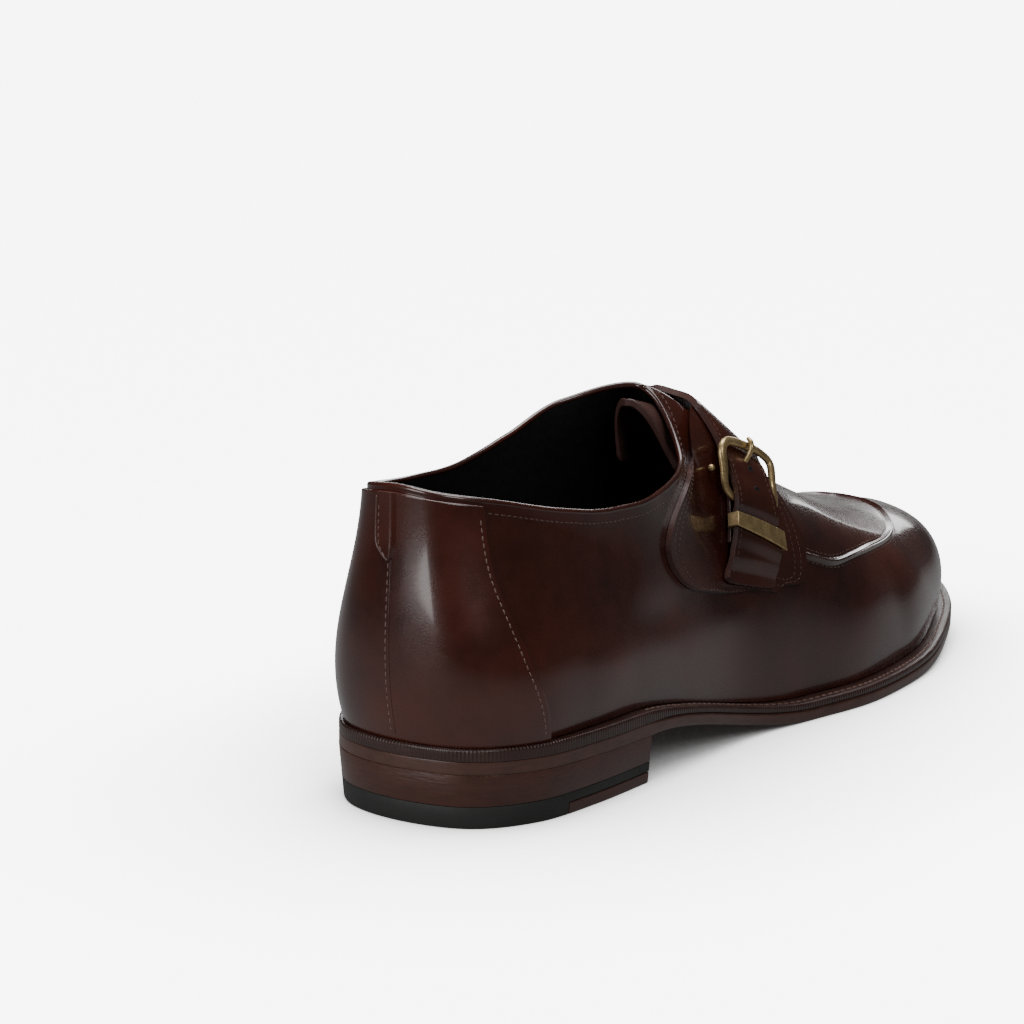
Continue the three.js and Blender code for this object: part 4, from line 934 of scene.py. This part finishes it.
calf_saddle = calf("calf_saddle", (0.02, 0.0052, 0.0035), (0.082, 0.0175, 0.0095))
SIDE_NAMES = {LATERAL: "lateral", MEDIAL: "medial"}
saddle_top = SADDLE_GAP + SADDLE
for side, word in SIDE_NAMES.items():
    at = saddle_at(side)
    panel = sheet(f"saddle_panel_{word}", at, np.linspace(0, 1, 90), np.linspace(0, 1, 60),
                  0.1, saddle_top, calf_saddle, 0.45, calf_edge)
    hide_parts(f"saddle_{word}")
    rows = []
    for margin in (0.035, 0.075):
        way = [path_on(at, run, across, saddle_top) for run, across in (
            (np.linspace(0.92, margin, 120), 1 - margin),
            (margin, np.linspace(1 - margin, margin, 60)),
            (np.linspace(margin, 0.8, 160), margin))]
        rows.append([np.concatenate(part) for part in zip(*way)])
    sew(f"saddle_stitches_{word}", rows, thread_painted_shade, 1.9, 1.35, 0.2)

# Tongue
# A padded leather tongue, sewn in under the vamp, comes up through the throat.
TONGUE, TONGUE_GAP, TONGUE_REACH, TONGUE_RISE, TONGUE_CORE = 2.4, 2.9, 12.0, 3.5, 36.0
FRONT_ROW, EXIT_ROW, ROW_BEND, SIDE_RISE, HIDDEN_PART = 8.3, 7.08, 0.5, 0.62, 0.5
# How far its free end stands off at the middle and at each side
TONGUE_MOVE = {
    0: (0.0, -TONGUE_REACH, TONGUE_RISE),
    LATERAL: (-5.0, -TONGUE_REACH - 3, TONGUE_RISE * 0.3),
    MEDIAL: (5.0, -TONGUE_REACH - 8, TONGUE_RISE * 0.9),
}


def tongue_at(run, across, depth):
    """run goes from the hidden end to the free one; depth is measured inwards."""
    spread = np.abs(across)
    row = (FRONT_ROW + (EXIT_ROW - FRONT_ROW) * np.minimum(run / HIDDEN_PART, 1)
           - ROW_BEND * spread * (1 - spread))
    share = 1 - (1 - SIDE_RISE) * spread
    free = (np.maximum(run - HIDDEN_PART, 0) / (1 - HIDDEN_PART))[..., None]
    blend = (spread ** 1.5)[..., None]

    def point(side):
        base = upper_point(side, row, share)
        core = np.stack([0 * row, base[..., 1], top_point(side, row)[..., 2] - TONGUE_CORE], -1)
        move = np.array(TONGUE_MOVE[0]) * (1 - blend) + np.array(TONGUE_MOVE[side]) * blend
        return base + unit(core - base) * (WALL + TONGUE_GAP + depth) + move * free
    return either_side(across, point)


tongue = sheet("tongue_leather", tongue_at, np.linspace(0, 1, 50), np.linspace(-1, 1, 61),
               TONGUE, 0.0, calf_edge, 0.9)
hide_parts("tongue")

# Strap
# One band of two layers over the instep; each end runs under the buckle's top bar, over its
# hinge bar and down through the keeper to a rounded tip.
STRAP, CHAPE, HINGE_ROD, FRAME_WIDTH, FRAME_HEIGHT = 2.0, 1.1, 2.0, 2.9, 2.3
KEEPER_BACK, KEEPER_PLATE, KEEPER_WIDTH, LAYER_GAP = 0.7, 1.0, 3.8, 0.5
CHAPE_GAP, STRAP_STIFFNESS, STRAP_TIP = 0.7, 0.8, 0.36
STRAP_LIFT, BUCKLE_SIDE_PLAY, BAR_BOW, PRONG_ROD, PRONG_TIP = 2.25, 0.6, 0.6, 1.7, 2.4
# Edges on the upper by station outwards from the ridge: back row and rise, front row and rise
STRAP_EDGES = {
    LATERAL: ((7.2, 1.0, 8.1, 1.0), (7.16, 0.9, 7.86, 0.885), (6.96, 0.785, 7.6, 0.74),
              (6.78, 0.68, 7.3, 0.6), (6.64, 0.63, 7.08, 0.5), (6.46, 0.59, 6.96, 0.42),
              (6.3, 0.555, 6.86, 0.35), (6.15, 0.525, 6.8, 0.325), (6.0, 0.493, 6.74, 0.305),
              (5.9, 0.465, 6.68, 0.285)),
    MEDIAL: ((7.2, 1.0, 8.1, 1.0), (7.14, 0.91, 7.82, 0.89), (6.94, 0.835, 7.56, 0.775),
             (6.74, 0.77, 7.3, 0.67), (6.54, 0.71, 7.08, 0.58), (6.34, 0.66, 6.92, 0.505),
             (6.15, 0.62, 6.76, 0.445), (5.97, 0.58, 6.63, 0.405), (5.82, 0.545, 6.5, 0.37),
             (5.7, 0.515, 6.4, 0.34)),
}
STRAP_END = 9
FLAT_FROM, TOP_BAR, LEG, FLAT_TO, HINGE, KEEPER = 2, 3, 3.9, 4, 4.8, 5.65
# Heights over the upper, from the saddle's face up
chape_low = saddle_top + CHAPE_GAP
chape_top = chape_low + CHAPE
hinge_lift = chape_top + GAP + HINGE_ROD / 2
keeper_low = chape_top + GAP
strap_on_bar = saddle_top + 2 * LAYER_GAP
strap_on_hinge = hinge_lift + HINGE_ROD / 2 + GAP
strap_on_keeper = keeper_low + KEEPER_BACK + LAYER_GAP
keeper_high = strap_on_keeper + STRAP + LAYER_GAP
top_bar_lift = strap_on_bar + STRAP + 2 * GAP + FRAME_HEIGHT / 2
# Height of the strap's underside by station
STRAP_LIFTS = (
    (0, STRAP_LIFT), (2, STRAP_LIFT), (3, strap_on_bar),
    (3.9, strap_on_bar + 0.62 * (strap_on_hinge - strap_on_bar)), (4.6, strap_on_hinge),
    (5.0, strap_on_hinge), (5.3, strap_on_keeper), (6.0, strap_on_keeper),
    (7.1, chape_top + LAYER_GAP), (8.2, saddle_top + 2 * LAYER_GAP), (9, saddle_top + 2 * LAYER_GAP))


def strap_lift(station):
    station = np.asarray(station, float)
    lift = np.full(station.shape, STRAP_LIFTS[0][1])
    for (start_at, low_lift), (end_at, high_lift) in zip(STRAP_LIFTS, STRAP_LIFTS[1:]):
        lift = np.where(station > start_at,
                        low_lift + (high_lift - low_lift) * ease(station, start_at, end_at), lift)
    return lift


def strap_point(side, station, across, lift):
    """A place on the strap's way, bent with the upper and stiffer towards the buckle."""
    station, across = np.broadcast_arrays(np.asarray(station, float), np.asarray(across, float))
    edge = [table_curve(STRAP_EDGES[side], k, station / STRAP_END) for k in range(4)]

    def at(place):
        row = edge[0] * (1 - place) + edge[2] * place
        share = edge[1] * (1 - place) + edge[3] * place
        return over_upper(side, row, np.minimum(share, 1.0), lift)
    flat = at(0.5) + (at(1.0) - at(0.0)) * (across - 0.5)[..., None]
    stiff = STRAP_STIFFNESS * ease(station, FLAT_FROM, FLAT_TO)[..., None]
    return at(across) * (1 - stiff) + flat * stiff


TIP_START = STRAP_END - STRAP_TIP
# The rounded tip: how far past its start, and the share cut off each edge there
TIP_PAST, TIP_CUT = np.array([(0.0, 0.0), (0.1, 0.012), (0.18, 0.04), (0.25, 0.085), (0.3, 0.13),
                              (0.34, 0.2), (0.36, 0.27)]).T


def strap_at(run, across, lift):
    """run goes from -1 at the medial tip over the ridge to +1 at the lateral tip."""
    station = np.abs(run) * STRAP_END
    cut = np.interp(np.maximum(station - TIP_START, 0), TIP_PAST, TIP_CUT)
    place, height = cut + (1 - 2 * cut) * across, strap_lift(station) + lift
    return either_side(run, lambda side: strap_point(side, station, place, height))


calf_strap = calf("calf_strap", (0.026, 0.0068, 0.0045), (0.088, 0.021, 0.012), 0.35, 0.6, 0.16)
half_runs = np.concatenate([np.linspace(0, TIP_START / STRAP_END, 70)[:-1],
                            (TIP_START + TIP_PAST) / STRAP_END])
strap_runs = np.concatenate([-half_runs[::-1], half_runs[1:]])
strap = sheet("strap_band", strap_at, strap_runs, np.linspace(0, 1, 21), 0.0, STRAP, calf_strap, 0.4,
              calf_edge)
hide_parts("strap")
fold_rows = [path_on(strap_at, np.linspace(0.08, 0.95, 200) * sign, edge, STRAP)
             for sign in (1, -1) for edge in (0.08, 0.92)]
sew("strap_stitches", fold_rows, thread_painted_shade, 1.8, 1.25, 0.15, 0.06)


def turned(centre, ahead, beside, above, profile, corners):
    """Rings of a turned form from (radius, height) pairs."""
    turns = np.linspace(0, 2 * math.pi, corners, endpoint=False)
    return np.array([[centre + (ahead * math.cos(turn) + beside * math.sin(turn)) * radius
                      + above * height for turn in turns] for radius, height in profile])


# Punched holes, each a raised ring round a disc, all near-black as painted shade for the shadowed
# opening: rings of radius and height over the leather
HOLE_PROFILE = ((1.15, -0.1), (1.05, 0.07), (0.85, 0.1), (0.75, 0.02), (0.0, 0.01))
HOLE_STATIONS, HOLE_ACROSS = (3.8, 4.4), 0.56
punched, tree, shader, place = new_material("punched_hole_painted_shade")
# Near-black colour: painted shade, standing in for the shadow inside the hole.
shader.inputs["Base Color"].default_value = (0.004, 0.003, 0.003, 1)
grime = noise(tree, place, 900.0)
tree.links.new(maths(tree, "MULTIPLY_ADD", grime, 0.3, 0.6), shader.inputs["Roughness"])
for side, word in SIDE_NAMES.items():
    spots = []
    for station in HOLE_STATIONS:
        top = strap_lift(station) + STRAP
        centre = strap_point(side, station, HOLE_ACROSS, top)
        ahead = unit(strap_point(side, station + 0.1, HOLE_ACROSS, top) - centre)
        beside = unit(strap_point(side, station, HOLE_ACROSS + 0.1, top) - centre)
        above = unit(np.cross(ahead, beside))
        above = above * np.sign(np.dot(above, strap_point(side, station, HOLE_ACROSS, 9.0) - centre))
        spots.append(turned(centre, ahead, beside, above, HOLE_PROFILE, 20))
    holes = piece(f"strap_holes_{word}", spots, punched, ring=True)

# Chapes
# A short tab of strap leather on each saddle holds the hinge bar and the keeper.
CHAPE_BEFORE, CHAPE_AFTER, CHAPE_SINK = 0.2, 0.9, 0.3
for side, word in SIDE_NAMES.items():
    chape = sheet(f"chape_tab_{word}",
                  lambda run, across, lift: strap_point(side, run, across, lift),
                  np.linspace(HINGE - CHAPE_BEFORE, KEEPER + CHAPE_AFTER, 20),
                  np.linspace(0.02, 0.98, 16), chape_low - CHAPE_SINK, chape_top, calf_saddle, 0.3,
                  calf_edge)
    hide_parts(f"chape_{word}")

# Buckles, prongs and keepers
# Cast brass with an antique finish: browned in the hollows, rubbed bright along the edges.
brass_group, inside, outside = new_group(
    "antique_brass", [("Brown", None), ("Bright", None), ("Wear", 0.5), ("Vector", None)])
stain = noise(brass_group, inside["Vector"], 260.0, 4.0, 0.6)
scratch = noise(brass_group, inside["Vector"], 1500.0, 2.0)
share = maths(brass_group, "MULTIPLY_ADD", stain, 1.6,
              maths(brass_group, "SUBTRACT", inside["Wear"], 0.9))
finish_group(brass_group, outside, share, inside["Brown"], inside["Bright"],
             maths(brass_group, "MULTIPLY_ADD", scratch, 0.2, 0.2), scratch)


def brass(name, wear):
    made, tree, shader, height = finished_material(name, brass_group, Wear=wear,
                                                   Brown=(0.2, 0.135, 0.06), Bright=(0.68, 0.5, 0.25))
    add_relief(tree, shader, 0.15, 0.0001, height)
    shader.inputs["Metallic"].default_value = 0.75
    return made


brass_frame, brass_flat = brass("brass_frame", 0.65), brass("brass_flat", 0.75)
# Way around the frame: station, across the strap, share of the play outside it, share of the rise
FRAME_PATH = (
    (TOP_BAR, 0.12, 0, 1), (TOP_BAR, 0.5, 0, 1), (TOP_BAR, 0.88, 0, 1),
    (TOP_BAR + 0.2, 1, 1, 0.95), (LEG, 1, 1.1, 0.6), (HINGE - 0.3, 1, 1, 0.12),
    (HINGE, 0.88, 0, 0), (HINGE, 0.5, 0, 0), (HINGE, 0.12, 0, 0),
    (HINGE - 0.3, 0, -1, 0.12), (LEG, 0, -1.1, 0.6), (TOP_BAR + 0.2, 0, -1, 0.95))
# Middle spot of each bar in that table, and how far it bows outwards
BARS = {1: BAR_BOW, 7: 0.0}


def across_strap(side, station):
    return np.linalg.norm(strap_point(side, station, 0.0, 0.0) - strap_point(side, station, 1.0, 0.0))


def frame_spots(side):
    leg = BUCKLE_SIDE_PLAY + FRAME_WIDTH / 2
    points, ups = [], []
    for station, across, out, rise in FRAME_PATH:
        where = across + out * leg / across_strap(side, station)
        lift = hinge_lift + (top_bar_lift - hinge_lift) * rise
        points.append(strap_point(side, station, where, lift))
        ups.append(unit(points[-1] - strap_point(side, station, where, 0.0)))
    for i, bow in BARS.items():
        ups[i] = unit(ups[i - 1] + ups[i + 1])
        points[i] = (points[i - 1] + points[i + 1]) / 2 + ups[i] * bow
    return np.array(points), np.array(ups)


def closed_curve(table, count):
    """Even places on a smooth closed curve through the rows of a table."""
    at = np.linspace(0, len(table), count, endpoint=False)
    return np.stack([curve_through(np.append(column, column[0]), column[-1], column[1], at)
                     for column in np.asarray(table, float).T], -1)


FRAME_STEPS, PRONG_STEPS = 120, 50
# The prong from the hinge bar up under the strap: station, share of the strap's height there
PRONG_PATH = ((4.56, 0.76), (4.25, 0.7), (3.95, 0.72), (3.7, 0.98))
for side, word in SIDE_NAMES.items():
    points, ups = frame_spots(side)
    path, up = closed_curve(points, FRAME_STEPS), closed_curve(ups, FRAME_STEPS)
    rise = closed_curve([row[3:] for row in FRAME_PATH], FRAME_STEPS)[:, 0].clip(0, 1)
    along = unit(np.roll(path, -1, 0) - np.roll(path, 1, 0))
    across = unit(np.cross(up, along))
    up = np.cross(along, across)
    wide = HINGE_ROD + (FRAME_WIDTH - HINGE_ROD) * np.sqrt(rise)
    high = HINGE_ROD + (FRAME_HEIGHT - HINGE_ROD) * rise
    turn = np.linspace(0, 2 * math.pi, 18, endpoint=False)
    grid = (path[:, None]
            + across[:, None] * (wide[:, None] / 2 * np.cos(turn))[..., None]
            + up[:, None] * (high[:, None] / 2 * np.sin(turn))[..., None])
    grid = np.concatenate([grid, grid[:1]])
    ring = piece(f"buckle_frame_{word}", [grid], brass_frame, ring=True)
    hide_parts(f"buckle_{word}")

    under = [strap_point(side, station, 0.5, share * strap_lift(station))
             for station, share in PRONG_PATH]
    rest = points[1] + ups[1] * (FRAME_HEIGHT / 2 + GAP + PRONG_ROD / 2)
    ahead = unit(points[1] - strap_point(side, LEG, 0.5, top_bar_lift))
    beside = [rest + ahead * reach - ups[1] * drop for reach, drop in
              ((-PRONG_TIP, GAP), (PRONG_TIP * 0.75, 0.9))]
    prong_path = space_curve([*under, beside[0], rest, beside[1]], PRONG_STEPS)
    slim = np.interp(np.linspace(0, 1, PRONG_STEPS), [0, 0.85, 1], [1.0, 1.0, 0.72]) * PRONG_ROD / 2
    prong = tube(f"prong_pin_{word}", prong_path, slim, brass_frame, 12)
    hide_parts(f"prong_{word}")

    width = across_strap(side, KEEPER)
    step = strap_point(side, KEEPER + 1, 0.5, 0.0) - strap_point(side, KEEPER, 0.5, 0.0)
    half_run = KEEPER_WIDTH / 2 / np.linalg.norm(step)
    lanes = []
    for play, low, high in ((GAP, keeper_low + KEEPER_BACK, keeper_high),
                            (GAP + KEEPER_PLATE, keeper_low, keeper_high + KEEPER_PLATE)):
        shares = -play / width + (1 + 2 * play / width) * np.linspace(0, 1, 14)
        lanes.append([(share, low) for share in shares] + [(share, high) for share in shares[::-1]])
    rows = [[strap_point(side, KEEPER + sign * half_run, *spot)
             for sign, spot in ((-1, inner), (-1, outer), (1, outer), (1, inner))]
            for inner, outer in zip(*lanes)]
    rows.append(rows[0])
    keeper = soften(piece(f"keeper_plate_{word}", [np.array(rows)], brass_flat, ring=True), 0.3, 40, 3)
    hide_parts(f"keeper_{word}")

# Stud that holds the chape, by the frame's leg
STUD_STATION, STUD_ACROSS, STUD_LIFT, STUD_RADIUS = 3.95, -0.36, 3.0, 1.1
for side, word in SIDE_NAMES.items():
    centre = strap_point(side, STUD_STATION, STUD_ACROSS, STUD_LIFT)
    above = unit(strap_point(side, STUD_STATION, STUD_ACROSS, STUD_LIFT + 1) - centre)
    ahead = unit(np.cross(above, [0.0, 0.0, 1.0]))
    rings = [(STUD_RADIUS * math.cos(a), STUD_RADIUS * math.sin(a))
             for a in np.linspace(-math.pi / 2, math.pi / 2, 11)]
    ball = turned(centre, ahead, np.cross(above, ahead), above, rings, 16)
    stud = piece(f"chape_stud_{word}", [ball], brass_flat, ring=True)

# Welt stitching
# Heavy waxed thread through welt and outsole, lying in the top of the welt.
welt_row = around(welt_stations, 2.6, band_top)
upwards = np.tile([0.0, 0.0, 1.0], (len(welt_row), 1))
sew("welt_stitches", [(welt_row, upwards)], thread_painted_sheen, 2.9, 2.1, 0.4, 0.12)

# Floor, light and camera
# A pale seamless floor, soft boxes overhead and to the sides, and a long lens at the height
# of a table.
FLOOR_HALF = 30.0
floor_mesh = bpy.data.meshes.new("floor")
floor_mesh.from_pydata([(x * FLOOR_HALF, y * FLOOR_HALF, 0)
                        for x, y in ((-1, -1), (1, -1), (1, 1), (-1, 1))], [], [(0, 1, 2, 3)])
floor = bpy.data.objects.new("floor", floor_mesh)
bpy.context.collection.objects.link(floor)
# The paper glows white to the camera with a painted contact shadow where the shoe stands on it, and in
# reflections it glows dimly near the shoe as painted light, so it mirrors dimly in the leather
paper, tree, shader, place = new_material("paper_painted_glow_and_shadow")
shader.inputs["Roughness"].default_value = 0.7
shader.inputs["Specular IOR Level"].default_value = 0.05
shader.inputs["Emission Color"].default_value = (1, 1, 1, 1)
seen = add_node(tree, "ShaderNodeLightPath").outputs["Is Camera Ray"]
occlusion_for_painted_shadow = add_node(tree, "ShaderNodeAmbientOcclusion", {"samples": 8}, Distance=0.11).outputs["AO"]
reach = add_node(tree, "ShaderNodeVectorMath", {"operation": "LENGTH"}, (place,)).outputs["Value"]
# Painted light for reflections: away from the camera the floor glows only near the shoe, fading with
# distance.
glow = add_node(tree, "ShaderNodeMapRange", {"interpolation_type": "SMOOTHSTEP"},
                (reach, 0.1, 0.75, 0.16, 0.0)).outputs[0]
# Painted contact shadow: the floor's glow to the camera is darkened by ambient occlusion near the shoe.
bright = maths(tree, "MULTIPLY", maths(tree, "POWER", occlusion_for_painted_shadow, 2.6), 7.0)
# The floor's colour is lighter to the camera than in reflections, which paints its reflection in the
# leather darker.
tree.links.new(maths(tree, "MULTIPLY_ADD", seen, 0.5, 0.12), shader.inputs["Base Color"])
strength = maths(tree, "ADD", maths(tree, "MULTIPLY", seen, bright),
                 maths(tree, "MULTIPLY", maths(tree, "SUBTRACT", 1.0, seen), glow))
tree.links.new(strength, shader.inputs["Emission Strength"])
floor_mesh.materials.append(paper)

world = bpy.data.worlds.new("studio")
bpy.context.scene.world = world
world.use_nodes = True
background = world.node_tree.nodes["Background"].inputs
background["Color"].default_value = (1, 1, 1, 1)
background["Strength"].default_value = 0.05


def soft_box(name, place, target, size, energy):
    data = bpy.data.lights.new(name, "AREA")
    data.shape, data.size, data.size_y, data.energy = "RECTANGLE", size[0], size[1], energy
    made = bpy.data.objects.new(name, data)
    made.location = place
    bpy.context.collection.objects.link(made)
    aim = mathutils.Vector(target) - mathutils.Vector(place)
    made.rotation_euler = aim.to_track_quat("-Z", "Y").to_euler()


soft_box("overhead", (-0.1, 0.2, 1.8), (0, 0, 0), (1.3, 1.3), 34)
soft_box("far_side", (-2.1, 3.8, 1.3), (0, 0, 0.05), (3.0, 1.2), 48)
soft_box("heel_strip", (-0.3, -1.55, 0.55), (0, -0.1, 0.06), (0.8, 0.8), 10)
soft_box("near_fill", (2.2, -1.4, 1.9), (0, 0, 0.05), (1.0, 1.0), 20)

# Stand of the camera in millimetres of the drawing, and the directions of its picture
CAMERA_STAND, LENS, SENSOR = (510.33, -677.87, 273.61), 112.44, 36.0
camera_data = bpy.data.cameras.new("camera")
camera_data.sensor_width, camera_data.lens = SENSOR, LENS
camera = bpy.data.objects.new("camera", camera_data)
right, lift, ahead = (0.8212, 0.5707, 0.0016), (-0.1234, 0.1748, 0.9768), (-0.5572, 0.8024, -0.2139)
turn = mathutils.Matrix([(right[k], lift[k], -ahead[k]) for k in range(3)]).to_4x4()
turn.translation = to_frame(CAMERA_STAND).tolist()
camera.matrix_world = turn
bpy.context.collection.objects.link(camera)
bpy.context.scene.camera = camera
